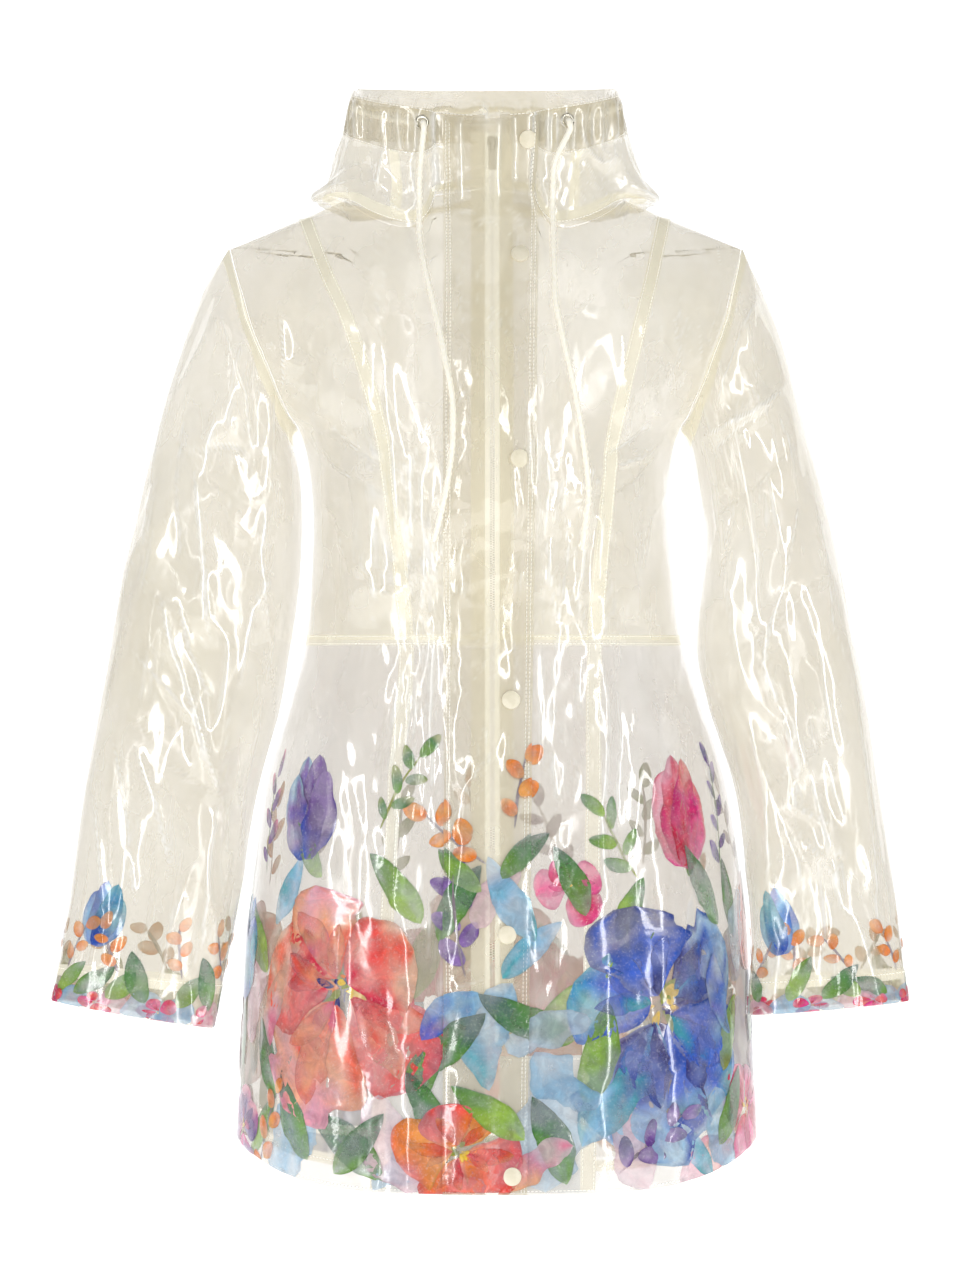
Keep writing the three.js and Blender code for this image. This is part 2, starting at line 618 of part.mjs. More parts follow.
// Sleeves: rings of the tables' sections, the first of them on the armhole
function sleevePoint(wearer, sections, folds, turn, row) {
  const ring = (k) => {
    const section = sections[clamp(k, 1, sections.length) - 1];
    if (k > 0) {
      const x = (section.outerX + section.innerX) / 2;
      const z = (section.outerZ + section.innerZ) / 2;
      return new THREE.Vector3(
        x + (section.outerX - section.innerX) / 2 * Math.cos(turn),
        section.y - section.depth * Math.sin(turn),
        z + (section.outerZ - section.innerZ) / 2 * Math.cos(turn),
      );
    }
    const z = lerp(ARMHOLE_TOP, UNDERARM, (1 - Math.cos(turn)) / 2);
    const x = column(BODY_SECTIONS, 'halfWidth', z) * Math.sin(edgeAngle(z));
    const { point } = bodyAt(Math.sin(turn) > 0 ? -1 : 1, wearer * x, z);
    point.x += wearer * (0.8 + 1.5 * (1 - Math.cos(turn)) / 2);
    return point;
  };
  const k = clamp(Math.floor(row), 0, sections.length - 1);
  const [before, start, end] = [ring(Math.max(k - 1, 0)), ring(k), ring(k + 1)];
  const after = ring(Math.min(k + 2, sections.length));
  const f = row - k;
  const point = new THREE.Vector3(
    catmullRom(before.x, start.x, end.x, after.x, f),
    catmullRom(before.y, start.y, end.y, after.y, f),
    catmullRom(before.z, start.z, end.z, after.z, f),
  );
  const side = Math.sin(turn) > 0 ? -1 : 1;
  const facing = clamp(1.3 * Math.abs(Math.sin(turn)) - 0.1, 0, 1) * smoothstep(row, 0.2, 1);
  point.y += side * facing * foldHeight(folds, side, point.x, point.z);
  return point;
}

// A sleeve is four nodes: the front and back half of its upper and its lower part
function addSleeve(wearer, name, sections, folds) {
  const rows = sections.length;
  const around = span(0, 2 * Math.PI, 18);
  const along = [0, 0.5, ...span(1, rows, rows - 1)];
  const at = surface((u, v) => sleevePoint(wearer, sections, folds, wearer * u, v), 0.02, 0.02);
  const grid = gridOf(at, around, along);
  const inner = around[(around.length - 1) / 2];
  const last = around[around.length - 1];
  const halves = [['front', [0, inner]], ['back', [inner, last]]];
  if (wearer < 0) halves.forEach((half, i) => { half[0] = i ? 'front' : 'back'; });
  for (const [half, columns] of halves) {
    for (const [part, partRows] of [['upper', [0, ELBOW_ROW]], ['lower', [ELBOW_ROW, rows]]]) {
      const cut = partOf(grid, columns, partRows, SLEEVE_TRIM);
      add(`sleeve_${part}_${half}_${name}`, wall(cut, -HALF, HALF), 'film');
    }
  }
  const cuffRow = rows - CUFF_TAPE_ABOVE / 48;
  const tapes = [['armhole', [0.16, 0.42], LAYER_1 + 1.4], ['cuff', [cuffRow - 0.16, cuffRow], LAYER_1]];
  for (const [seam, tapeRows, layer] of tapes) {
    const nodes = tapeRows.map((v) => ring(grid, v).slice(0, -1));
    const onSleeve = { us: around.slice(0, -1), vs: tapeRows, nodes };
    add(`${seam}_tape_${name}`, wall(onSleeve, -layer - TAPE, -layer, true), 'tape');
  }
}

// A grid's columns at one level between its rows
function ring({ vs, nodes }, v) {
  let j = 0;
  while (j < vs.length - 2 && v >= vs[j + 1]) j += 1;
  const f = (v - vs[j]) / (vs[j + 1] - vs[j]);
  return nodes[j].map((low, i) => ({
    point: low.point.clone().lerp(nodes[j + 1][i].point, f),
    normal: low.normal.clone().lerp(nodes[j + 1][i].normal, f),
  }));
}

// Hood: a wall that stands up from the neck seam at the front as a funnel collar and folds into a
// pouch at the sides and the back
function hoodPoint(angle, row) {
  const turn = degrees(angle);
  const seamPoint = neckSeam(turn);
  const seamBody = bodyAt(Math.cos(turn) > 0 ? -1 : 1, seamPoint.x - lean(seamPoint.z), seamPoint.z);
  const seam = seamBody.point.addScaledVector(seamBody.normal, HOOD_BASE);
  const cos = Math.cos(turn);
  const front = smoothstep(cos, 0, 0.45);
  const back = Math.max(0, -cos) ** 1.5;
  const side = 1 - front - back;
  const mix = (name) => {
    const at = (k) => {
      const r = HOOD_ROWS[clamp(k, 0, HOOD_RIM)];
      return front * r[`front${name}`] + side * r[`side${name}`] + back * r[`back${name}`];
    };
    const k = clamp(Math.floor(row), 0, HOOD_RIM - 1);
    return catmullRom(at(k - 1), at(k), at(k + 1), at(k + 2), row - k);
  };
  const rim = cos > 0
    ? RIM_FRONT + RIM_SIDE_RISE * (1 - cos) ** 0.75
    : RIM_FRONT + RIM_SIDE_RISE + RIM_BACK_RISE * -cos;
  const last = HOOD_ROWS[HOOD_RIM];
  const full = front * last.frontUp + side * last.sideUp + back * last.backUp;
  const out = mix('Out');
  return new THREE.Vector3(
    seam.x + out * Math.sin(turn),
    seam.y - out * cos,
    seam.z + mix('Up') * (rim - seam.z) / full,
  );
}

const HOOD_GRID_ROWS = [0, 0.5, 1, 1.5, 2, 2.5, 3, 4, 5, 6, 7, 8];
const HOOD_GAP = 0.1;
const ZIP_ANGLE = Math.asin((ZIP_X - LEAN_TOP) / NECK_HALF_WIDTH) * 180 / Math.PI;
const ZIP_EDGE_ANGLE = ZIP_HALF_GAP / NECK_HALF_WIDTH * 180 / Math.PI;

function addHood() {
  const hoodAt = surface(hoodPoint, 0.5, 0.02);
  const leftColumns = [...NECK_ANGLES, ...BACK_NECK_ANGLES.map((a) => 180 - a).reverse().slice(1)];
  const backColumns = [
    HOOD_SEAM + HOOD_GAP, ...leftColumns.slice(3), 180,
    ...leftColumns.slice(3).reverse().map((angle) => 360 - angle), 360 - HOOD_SEAM - HOOD_GAP,
  ];
  const frontColumns = (sign) => [
    ZIP_ANGLE + sign * ZIP_EDGE_ANGLE, sign * 14, sign * 27, sign * (HOOD_SEAM - HOOD_GAP),
  ];
  const grids = {
    hood_front_right: gridOf(hoodAt, frontColumns(-1).reverse(), HOOD_GRID_ROWS),
    hood_front_left: gridOf(hoodAt, frontColumns(1), HOOD_GRID_ROWS),
    hood_back: gridOf(hoodAt, backColumns, HOOD_GRID_ROWS),
  };
  addPanel('hood_front_right', grids.hood_front_right, 'film');
  addPanel('hood_front_left', grids.hood_front_left, 'film');
  addHalves('hood_back', grids.hood_back, 180, HOOD_GAP, 'film', ['left', 'right']);

  // Pieces inside the hood run round all three of its panels
  const parts = [
    [grids.hood_front_left, 0, 0], [grids.hood_back, 0, 0], [grids.hood_front_right, -360, 0],
  ];
  const round = (rows, startAfter) => {
    const columns = [];
    for (const [grid, shift] of parts) {
      grid.us.forEach((u) => columns.push({ u: u - shift, from: u, grid }));
    }
    columns[0].from += startAfter;
    columns[0].u += startAfter;
    columns[columns.length - 1].from -= startAfter;
    columns[columns.length - 1].u -= startAfter;
    const nodes = rows.map((v) => columns.map(({ grid, from }) => grid.on(from, v)));
    return { us: columns.map(({ u }) => u), vs: rows, nodes };
  };
  const depths = new Map([[6, 3.8], [HOOD_CORD_ROW, 6.6], [7.5, 5]]);
  const tuck = (v) => LAYER_1 + (depths.get(v) ?? 0);
  add('hood_casing', wall(
    round([CASING_ROW, 6, HOOD_CORD_ROW, 7.5, HOOD_RIM - 0.03], 6),
    (u, v) => -tuck(v) - TAPE, (u, v) => -tuck(v),
  ), 'film');
  add('neck_tape', wall(round([0.78, 1, 1.3], 6.5), -LAYER_2 - TAPE, -LAYER_2), 'tape');
  const tapeRows = [1.1, 1.5, 2, 2.5, 3, 4, CASING_ROW - 0.2];
  for (const [name, sign] of [['right', -1], ['left', 1]]) {
    const front = grids[`hood_front_${name}`];
    const backFrom = sign < 0 ? 360 - HOOD_SEAM : HOOD_SEAM;
    const columns = [
      (v) => front.on(sign * (HOOD_SEAM - 2.6), v),
      (v) => front.on(sign * HOOD_SEAM, v),
      (v) => grids.hood_back.on(backFrom + sign * 2.6, v),
    ];
    const nodes = tapeRows.map((v) => columns.map((at) => at(v)));
    const tape = { us: [0, 1, 2], vs: tapeRows, nodes };
    add(`hood_tape_${name}`, wall(tape, -LAYER_1 - TAPE, -LAYER_1), 'tape');
  }
  addHoodCord(grids);
}

function cord(path, steps) {
  const section = new THREE.Shape(span(0, 2 * Math.PI, CORD_SIDES).slice(0, -1).map(
    (turn) => new THREE.Vector2(CORD_RADIUS * Math.cos(turn), CORD_RADIUS * Math.sin(turn)),
  ));
  return new THREE.ExtrudeGeometry(section, { steps, extrudePath: path, bevelEnabled: false });
}

// The hood's cord runs in its casing from one eyelet round the back to the other, and its two ends
// hang free from the eyelets
function addHoodCord(grids) {
  const inCasing = -FILM / 2 - SEAM_GAP - CORD_RADIUS;
  const left = grids.hood_front_left;
  const right = grids.hood_front_right;
  const along = [
    left.on(EYELET_LEFT, HOOD_CORD_ROW), left.on(left.us[3], HOOD_CORD_ROW),
    ...grids.hood_back.us.map((u) => grids.hood_back.on(u, HOOD_CORD_ROW)),
    right.on(right.us[0], HOOD_CORD_ROW), right.on(right.us[1], HOOD_CORD_ROW),
  ];
  const inside = along.map(({ point, normal }) => point.addScaledVector(normal, inCasing));
  const casingPath = new THREE.CurvePath();
  inside.slice(1).forEach((point, i) => casingPath.add(new THREE.LineCurve3(inside[i], point)));
  add('hood_cord', cord(casingPath, 48), 'cord');

  const profile = [
    [EYELET_HOLE, 0], [EYELET_RADIUS, 0], [EYELET_RADIUS, EYELET_THICK / 2],
    [EYELET_RADIUS - 0.8, EYELET_THICK], [EYELET_HOLE + 0.6, EYELET_THICK], [EYELET_HOLE, 0],
  ].map(([r, h]) => new THREE.Vector2(r, h));
  for (const [name, grid, angle, hang] of [
    ['right', right, EYELET_RIGHT, RIGHT_CORD], ['left', left, EYELET_LEFT, LEFT_CORD],
  ]) {
    const { point, normal } = grid.on(angle, HOOD_CORD_ROW);
    normal.normalize();
    const eyelet = add(`eyelet_${name}`, new THREE.LatheGeometry(profile, 16), 'metal');
    eyelet.position.copy(point).addScaledVector(normal, EYELET_LIFT);
    eyelet.quaternion.setFromUnitVectors(new THREE.Vector3(0, 1, 0), normal);
    const out = (distance, down) => {
      const place = point.clone().addScaledVector(normal, distance);
      place.z -= down;
      return place;
    };
    const face = EYELET_LIFT + EYELET_THICK + SEAM_GAP;
    const path = new THREE.CatmullRomCurve3([
      out(face + 0.2, 0), out(face + 3.6, 0.8), out(face + 4.6, 4), out(face + 3.4, 9),
      ...hang.map(({ x, y, z }) => new THREE.Vector3(x, y, z)),
    ]);
    add(`drawcord_${name}`, cord(path, CORD_STEPS), 'cord');
  }
}

// The front's rows, from the hem up to the hood's edge, with a point of the row at a distance
// from the zip's middle
const FRONT_ROWS = [
  ...[...SKIRT_ROWS].reverse().map((v) => ({ panel: 'skirt', v })),
  ...BODICE_ROWS.map((v) => ({ panel: 'bodice', v })),
  ...HOOD_GRID_ROWS.map((v) => ({ panel: 'hood', v })),
];

function frontOn({ panel, v }, fromZip) {
  const wearer = fromZip < 0 ? -1 : 1;
  const name = wearer < 0 ? 'right' : 'left';
  if (panel === 'hood') {
    const angle = Math.asin((ZIP_X - LEAN_TOP + fromZip) / NECK_HALF_WIDTH) * 180 / Math.PI;
    return panels[`hood_front_${name}`].on(angle, v);
  }
  const grid = panels[`front_${panel}_centre_${name}`];
  const { z } = grid.on(0, v).point;
  const x = frontEdge(wearer, z) - ZIP_HALF_GAP + Math.abs(fromZip);
  return grid.on(shareAt(frontAngle(wearer), princessAngle(wearer), x, z), v);
}

function frontStrip(rows, columns) {
  const nodes = rows.map((row) => columns.map((fromZip) => frontOn(row, fromZip)));
  return { us: columns, vs: rows.map((row, j) => j), nodes };
}

function flapLeft(z) {
  return lerp(FLAP_LEFT_TOP, FLAP_LEFT_HEM, clamp((RIM_FRONT - z) / (RIM_FRONT - HEM_CENTRE), 0, 1));
}

// Storm flap: sewn on the wearer's right of the zip, it lies over it and snaps on the left
function flapLift(share, z) {
  const atPull = smoothstep(z, -20, 15) * (1 - smoothstep(z, 60, 80));
  const full = lerp(FLAP_LIFT, FLAP_LIFT_AT_PULL, atPull);
  const atNeck = 2 * smoothstep(z, -60, -20) * (1 - smoothstep(z, 5, 25));
  const sewn = FILM + 2 * SEAM_GAP + atNeck;
  return lerp(lerp(sewn, full, smoothstep(share, 0, 0.22)), sewn + 1, smoothstep(share, 0.54, 0.76));
}

function addClosure() {
  const flapRows = FRONT_ROWS.filter(({ panel, v }) => panel !== 'hood' || v < HOOD_RIM);
  flapRows[0] = { panel: 'skirt', v: 1.007 };
  flapRows.push({ panel: 'hood', v: HOOD_RIM - 0.15 });
  const shares = [0, 0.1, 0.22, 0.4, 0.56, 0.66, 0.76, 1];
  const nodes = flapRows.map((row) => {
    const { z } = frontOn(row, 1).point;
    return shares.map((share) => {
      const node = frontOn(row, lerp(FLAP_RIGHT, flapLeft(z), share));
      node.point.addScaledVector(node.normal, flapLift(share, z));
      return node;
    });
  });
  const flapLines = flapRows.map((row, j) => j);
  const flap = gridOf((u, v) => nodes[v][shares.indexOf(u)], shares, flapLines);
  add('storm_flap', wall(flap, -HALF, HALF), 'film');
  SNAPS.forEach(({ x, z }, i) => {
    let row = 0;
    while (nodes[row + 1][0].point.z < z) row += 1;
    const low = nodes[row][0].point.z;
    const v = row + (z - low) / (nodes[row + 1][0].point.z - low);
    const share = (x - ZIP_X - FLAP_RIGHT) / (flapLeft(z) - FLAP_RIGHT);
    const across = flap.on(share + 0.07, v).point.sub(flap.on(share - 0.07, v).point);
    const up = flap.on(share, v + 0.15).point.sub(flap.on(share, v - 0.15).point);
    const normal = across.cross(up).normalize();
    const profile = [[0, 0], [SNAP_RADIUS, 0], [SNAP_RADIUS, 0.9], [SNAP_RADIUS - 1.2, 1.8], [0, 2.1]];
    const cap = new THREE.LatheGeometry(profile.map(([r, h]) => new THREE.Vector2(r, h)), 16);
    const snap = add(`snap_${i + 1}`, cap, 'snap');
    snap.position.copy(flap.on(share, v).point).addScaledVector(normal, HALF + SNAP_GAP);
    snap.quaternion.setFromUnitVectors(new THREE.Vector3(0, 1, 0), normal);
  });

  const facingTop = (ZIP_BOTTOM - WAIST) / (HEM_CENTRE - WAIST);
  const zipRows = FRONT_ROWS.filter(({ panel, v }) => (
    (panel === 'skirt' && v < facingTop) || panel === 'bodice' || (panel === 'hood' && v < 6.5)
  ));
  zipRows.unshift({ panel: 'skirt', v: facingTop });
  for (const [name, sign] of [['right', -1], ['left', 1]]) {
    const columns = [sign * (TEETH_HALF + SEAM_GAP), sign * ZIP_HALF_GAP, sign * ZIP_TAPE_HALF];
    add(`zip_tape_${name}`, wall(frontStrip(zipRows, columns), -LAYER_1 - TAPE, -LAYER_1), 'tape');
  }
  add('zip_teeth', wall(
    frontStrip(zipRows, [-TEETH_HALF, TEETH_HALF]), -LAYER_1 - TAPE, SEAM_GAP,
  ), 'tape');
}

// The zip's slider, with an arch on it, and the pull tab that hangs from the arch under the flap.
// Sizes run across, out from the wall and up, from the slider's middle on the wall.
const SLIDER = { halfWidth: 4.5, halfHeight: 6.5, shoulder: 2.6, low: 1.3, high: 3.7 };
const ARCH = { halfWidth: 1.2, bottom: -4, top: 5, out: 7.9, bar: 1.4 };
const PULL = { halfWidth: 3.5, top: 2.6, bar: 1.6, length: 24, low: 4.6, high: 5.8, slot: 1.8 };

function polygon(points) {
  return new THREE.Shape(points.map(([x, y]) => new THREE.Vector2(x, y)));
}

function plate(shape, low, high) {
  const geometry = new THREE.ExtrudeGeometry(shape, { depth: high - low, bevelEnabled: false });
  return geometry.rotateX(Math.PI / 2).translate(0, -low, 0);
}

function united(geometries) {
  const solids = geometries.map((geometry) => {
    geometry.deleteAttribute('normal');
    geometry.deleteAttribute('uv');
    const welded = mergeVertices(geometry, 1e-4);
    return new wasm.Manifold(new wasm.Mesh({
      numProp: 3,
      vertProperties: new Float32Array(welded.attributes.position.array),
      triVerts: new Uint32Array(welded.index.array),
    }));
  });
  const { vertProperties, triVerts } = wasm.Manifold.union(solids).getMesh();
  return turnedOut([...vertProperties], [...triVerts]);
}

function addSlider() {
  const { point, normal } = frontOn({ panel: 'hood', v: SLIDER_ROW }, 0);
  const place = (mesh) => {
    mesh.position.copy(point);
    mesh.rotation.x = Math.atan2(-normal.z, -normal.y);
  };
  const { halfWidth: w, halfHeight: h, shoulder } = SLIDER;
  const body = plate(polygon([
    [-shoulder, -h], [shoulder, -h], [w, 0], [w, h - 1.5], [w - 1.5, h], [1.5 - w, h],
    [-w, h - 1.5], [-w, 0],
  ]), SLIDER.low, SLIDER.high);
  const foot = SLIDER.high - 0.5;
  const arch = new THREE.ExtrudeGeometry(polygon([
    [foot, ARCH.bottom], [ARCH.out - 1, ARCH.bottom], [ARCH.out, ARCH.bottom + 1],
    [ARCH.out, ARCH.top - 1], [ARCH.out - 1, ARCH.top], [foot, ARCH.top],
    [foot, ARCH.top - ARCH.bar], [ARCH.out - ARCH.bar, ARCH.top - ARCH.bar],
    [ARCH.out - ARCH.bar, ARCH.bottom + ARCH.bar], [foot, ARCH.bottom + ARCH.bar],
  ]), { depth: 2 * ARCH.halfWidth, bevelEnabled: false });
  arch.translate(0, 0, -ARCH.halfWidth);
  arch.applyMatrix4(new THREE.Matrix4().makeBasis(
    new THREE.Vector3(0, -1, 0), new THREE.Vector3(0, 0, 1), new THREE.Vector3(-1, 0, 0),
  ));
  place(add('zip_slider', united([body, arch]), 'metal'));

  const { halfWidth, top, bar, slot, length } = PULL;
  const bottom = top - length;
  const tab = polygon([
    [-halfWidth + 1, bottom], [halfWidth - 1, bottom], [halfWidth, bottom + 1],
    [halfWidth, top - 1], [halfWidth - 1, top], [1 - halfWidth, top], [-halfWidth, top - 1],
    [-halfWidth, bottom + 1],
  ]);
  tab.holes.push(polygon([
    [-slot, top - bar], [slot, top - bar], [slot, ARCH.bottom - 1], [-slot, ARCH.bottom - 1],
  ]));
  place(add('pull_tab', plate(tab, PULL.low, PULL.high), 'metal'));
}

// Tapes and facings on the inside of the body
function joined(columns, rows) {
  const nodes = rows.map((row) => columns.map((at) => at(row)));
  return { us: columns.map((at, i) => i), vs: rows.map((row, j) => j), nodes };
}

function addBodyTapes() {
  const seamRows = {
    bodice: [...BODICE_ROWS.slice(0, -1), 0.985],
    skirt: [...SKIRT_ROWS.slice(0, -1), 0.996],
  };
  for (const name of ['right', 'left']) {
    for (const [part, rows] of Object.entries(seamRows)) {
      const centre = panels[`front_${part}_centre_${name}`];
      const side = panels[`front_${part}_side_${name}`];
      add(`princess_tape_${part}_${name}`, wall(joined([
        (v) => centre.on(1 - HALF_TAPE / 85, v),
        (v) => centre.on(1, v),
        (v) => side.on(HALF_TAPE / 95, v),
      ], rows), -LAYER_1 - TAPE, -LAYER_1), 'tape');
    }
    const centre = panels[`front_skirt_centre_${name}`];
    const top = (ZIP_BOTTOM - 8 - WAIST) / (HEM_CENTRE - WAIST);
    const columns = centre.us.map((u) => (v) => centre.on(u, v));
    add(`hem_facing_${name}`, wall(
      joined(columns, [top, 0.8, 0.9, 0.997]), -LAYER_2 - TAPE, -LAYER_2,
    ), 'print');
    add(`facing_tape_${name}`, wall(
      joined(columns, [top + 0.004, top + 0.024]), -LAYER_3 - TAPE, -LAYER_3,
    ), 'tape');
  }
  const round = (part) => [
    [`front_${part}_centre_left`, 1], [`front_${part}_side_left`, 1], [`back_${part}`, -1],
    [`front_${part}_side_right`, -1], [`front_${part}_centre_right`, -1],
  ];
  const columnsOf = (list) => list.flatMap(([name, order]) => {
    const { us } = panels[name];
    return (order > 0 ? [...us] : [...us].reverse()).map((u) => [name, u]);
  });
  const bodiceColumns = columnsOf(round('bodice'));
  const skirtColumns = columnsOf(round('skirt'));
  const waist = bodiceColumns.map(([name, u], i) => (row) => {
    const [skirt, share] = skirtColumns[i];
    return row >= 0 ? panels[name].on(u, 0.012 * row) : panels[skirt].on(share, -0.009 * row);
  });
  add('waist_tape', wall(joined(waist, [-1, 0, 1]), -LAYER_2 - TAPE, -LAYER_2), 'tape');
  const hem = columnsOf(round('skirt').slice(1, 4)).map(([name, u]) => (v) => panels[name].on(u, v));
  const share = HEM_TAPE_ABOVE / (WAIST - HEM_CENTRE);
  add('hem_tape', wall(
    joined(hem, [1 - share, 1 - share - 0.018]), -LAYER_2 - TAPE, -LAYER_2,
  ), 'tape');
}

addFrontPanels(-1, 'right');
addFrontPanels(1, 'left');
addBackPanels();
addSleeve(-1, 'right', RIGHT_SLEEVE, RIGHT_SLEEVE_FOLDS);
addSleeve(1, 'left', LEFT_SLEEVE, LEFT_SLEEVE_FOLDS);
addHood();
addClosure();
addSlider();
addBodyTapes();

export default coat;
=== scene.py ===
"""A hooded raincoat of milky clear film, as it is worn: hollow, with the hood down behind a funnel
collar, a zip under a snapped storm flap, and a floral print that grows up from the hem and cuffs.

Every cloth surface is one formula: the body's level sections are ellipses whose half width and
depths come from a table and close to the shoulder seam in a quarter circle; a sleeve is a row of
tilted ellipses; the hood is the neck's oval moved out and up by a table. A piece is a grid on such
a surface, moved along its normal by the folds, the listed creases and the crumple there.
Lengths are millimetres until a mesh is made. -Y is the front, and +X the wearer's left.
"""

import math

import bpy
import numpy as np
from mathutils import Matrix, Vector


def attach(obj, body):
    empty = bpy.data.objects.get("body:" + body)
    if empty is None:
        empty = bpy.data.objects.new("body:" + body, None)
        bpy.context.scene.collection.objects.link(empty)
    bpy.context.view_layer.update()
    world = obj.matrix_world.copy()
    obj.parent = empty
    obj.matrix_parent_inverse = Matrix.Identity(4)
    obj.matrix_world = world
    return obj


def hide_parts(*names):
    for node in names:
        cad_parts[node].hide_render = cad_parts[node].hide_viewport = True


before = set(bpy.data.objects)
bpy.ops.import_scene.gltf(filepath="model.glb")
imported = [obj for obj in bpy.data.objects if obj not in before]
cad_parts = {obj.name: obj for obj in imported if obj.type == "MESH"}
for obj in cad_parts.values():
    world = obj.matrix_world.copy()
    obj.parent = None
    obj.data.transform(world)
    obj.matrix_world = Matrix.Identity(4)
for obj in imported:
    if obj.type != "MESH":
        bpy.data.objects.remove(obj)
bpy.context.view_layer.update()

# Camera: the photograph's level view from straight in front, 4 m away, with a frame
# 1075 mm high at the shoulders' plane.
MM = 0.001
VIEW_X, VIEW_Z, VIEW_AWAY, VIEW_HEIGHT = -8, -365, 4000, 1075

camera = bpy.data.objects.new("camera", bpy.data.cameras.new("camera"))
bpy.context.scene.collection.objects.link(camera)
camera.location = (VIEW_X * MM, -VIEW_AWAY * MM, VIEW_Z * MM)
camera.rotation_euler = (math.pi / 2, 0, 0)
camera.data.sensor_fit = "VERTICAL"
camera.data.angle = 2 * math.atan(VIEW_HEIGHT / 2 / VIEW_AWAY)
camera.data.clip_end = 60
bpy.context.scene.camera = camera

# Meshes: arrays of points and faces, with smooth shading and values at the points for materials.


def mesh_object(name, points, faces, values=None, smooth=True):
    mesh = bpy.data.meshes.new(name)
    points = np.asarray(points, float).reshape(-1, 3) * MM
    mesh.from_pydata(points.tolist(), [], np.asarray(faces).tolist())
    mesh.update()
    mesh.polygons.foreach_set("use_smooth", np.full(len(mesh.polygons), smooth))
    for key, value in (values or {}).items():
        value = np.asarray(value, np.float32)
        kind = "FLOAT_COLOR" if value.ndim == 2 else "FLOAT"
        layer = mesh.attributes.new(key, kind, "POINT")
        layer.data.foreach_set("color" if value.ndim == 2 else "value", value.ravel())
    made = bpy.data.objects.new(name, mesh)
    bpy.context.scene.collection.objects.link(made)
    return made


def grid_faces(rows, columns, closed=False, start=0):
    j, i = np.mgrid[0 : rows - 1, 0 : columns if closed else columns - 1]
    right = (i + 1) % columns
    corners = [j * columns + i, j * columns + right, (j + 1) * columns + right, (j + 1) * columns + i]
    return start + np.stack(corners, -1).reshape(-1, 4)


def joined(parts):
    """Several (points, faces, values) as one."""
    start, points, faces, values = 0, [], [], {}
    for part_points, part_faces, part_values in parts:
        points.append(part_points)
        faces += [[start + i for i in face] for face in np.asarray(part_faces).tolist()]
        for key, value in part_values.items():
            values.setdefault(key, []).append(value)
        start += len(part_points)
    return np.concatenate(points), faces, {k: np.concatenate(v) for k, v in values.items()}


# Random fields: hills and hollows one unit across, and the sharp-edged facets of crumpled film.


def smoothstep(value, low, high):
    f = np.clip((value - low) / (high - low), 0, 1)
    return f * f * (3 - 2 * f)


def noise(x, y, seed):
    table = np.random.default_rng(seed).uniform(-1, 1, (64, 64))
    i, j = np.floor(x).astype(int), np.floor(y).astype(int)
    fx, fy = x - i, y - j
    fx, fy = fx * fx * (3 - 2 * fx), fy * fy * (3 - 2 * fy)
    low = table[i % 64, j % 64] * (1 - fx) + table[(i + 1) % 64, j % 64] * fx
    high = table[i % 64, (j + 1) % 64] * (1 - fx) + table[(i + 1) % 64, (j + 1) % 64] * fx
    return low * (1 - fy) + high * fy


def crumple(x, y, seed):
    """Ridges with sharp crests, from about -0.5 to 0.5."""
    bent_x = x + 0.7 * noise(x * 0.6, y * 0.6, seed + 1)
    bent_y = y + 0.7 * noise(x * 0.6, y * 0.6, seed + 2)
    total = 0
    for octave, share in enumerate((0.68, 0.26, 0.06)):
        scale = 2**octave
        total = total + share * (1 - 2 * np.abs(noise(bent_x * scale, bent_y * scale, seed + 5 * octave)))
    return total - 0.5


# The body's sizes: sections from the neck down, with the half width and the depths at the middle.


def table(names, rows):
    return dict(zip(names.split(), np.array(rows, float).T))


BODY = table("z half_width front back", [
    (30, 205, 58, 82), (-25, 212, 69, 92), (-60, 221, 84, 99), (-100, 221, 99, 106),
    (-150, 195, 114, 110), (-175, 175, 119, 110), (-190, 160, 122, 110), (-240, 151, 124, 106),
    (-300, 152, 114, 97), (-365, 158, 107, 91), (-416, 172, 109, 98), (-458, 186, 114, 106),
    (-500, 196, 120, 115), (-584, 207, 131, 128), (-670, 212, 139, 137), (-760, 217, 146, 144),
    (-830, 219, 150, 148),
])
PRINCESS = table("z right left", [
    (0, 155, 153), (-60, 133, 138), (-105, 114, 126), (-190, 90, 104), (-238, 84, 97),
    (-365, 73, 83), (-500, 84, 78), (-700, 95, 75), (-830, 98, 73),
])
SHOULDER_DROP, SHOULDER_TOP, SHOULDER_ROUND = 0.4227, 53.6, 110
NECK_HALF_WIDTH, NECK_FRONT, NECK_BACK = 117, 66, 64
ARMHOLE_TOP, UNDERARM, ARMHOLE_TURN = -36, -190, math.radians(26)
WAIST, HEM, HEM_SIDE_RISE = -365, -814, 34
LEAN_TOP, LEAN_CHANGE, LEAN_LENGTH = -4, 10, 500
ZIP_X, ZIP_HALF_GAP, ZIP_BOTTOM, ZIP_TAPE_HALF = 2, 6, -694, 17.5
FRONT, BACK = -1, 1


def column(rows, name, z):
    """A column of a table of falling levels, smooth between its rows."""
    levels, values = rows["z"], rows[name]
    last = len(levels) - 1
    k = np.clip(np.searchsorted(-levels, -np.asarray(z, float), side="left") - 1, 0, last - 1)
    before, after = np.maximum(np.arange(last + 1) - 1, 0), np.minimum(np.arange(last + 1) + 1, last)
    slope = (values[after] - values[before]) / (levels[after] - levels[before])
    step = levels[k + 1] - levels[k]
    f = np.clip((z - levels[k]) / step, 0, 1)
    cubic = (f**3 - 2 * f**2 + f) * slope[k] + (f**3 - f**2) * slope[k + 1]
    return values[k] + (values[k + 1] - values[k]) * f * f * (3 - 2 * f) + cubic * step


def lean(z):
    return LEAN_TOP + LEAN_CHANGE * np.clip(-z / LEAN_LENGTH, 0, 1)


def depth_at(side, z):
    return np.where(side < 0, column(BODY, "front", z), column(BODY, "back", z))


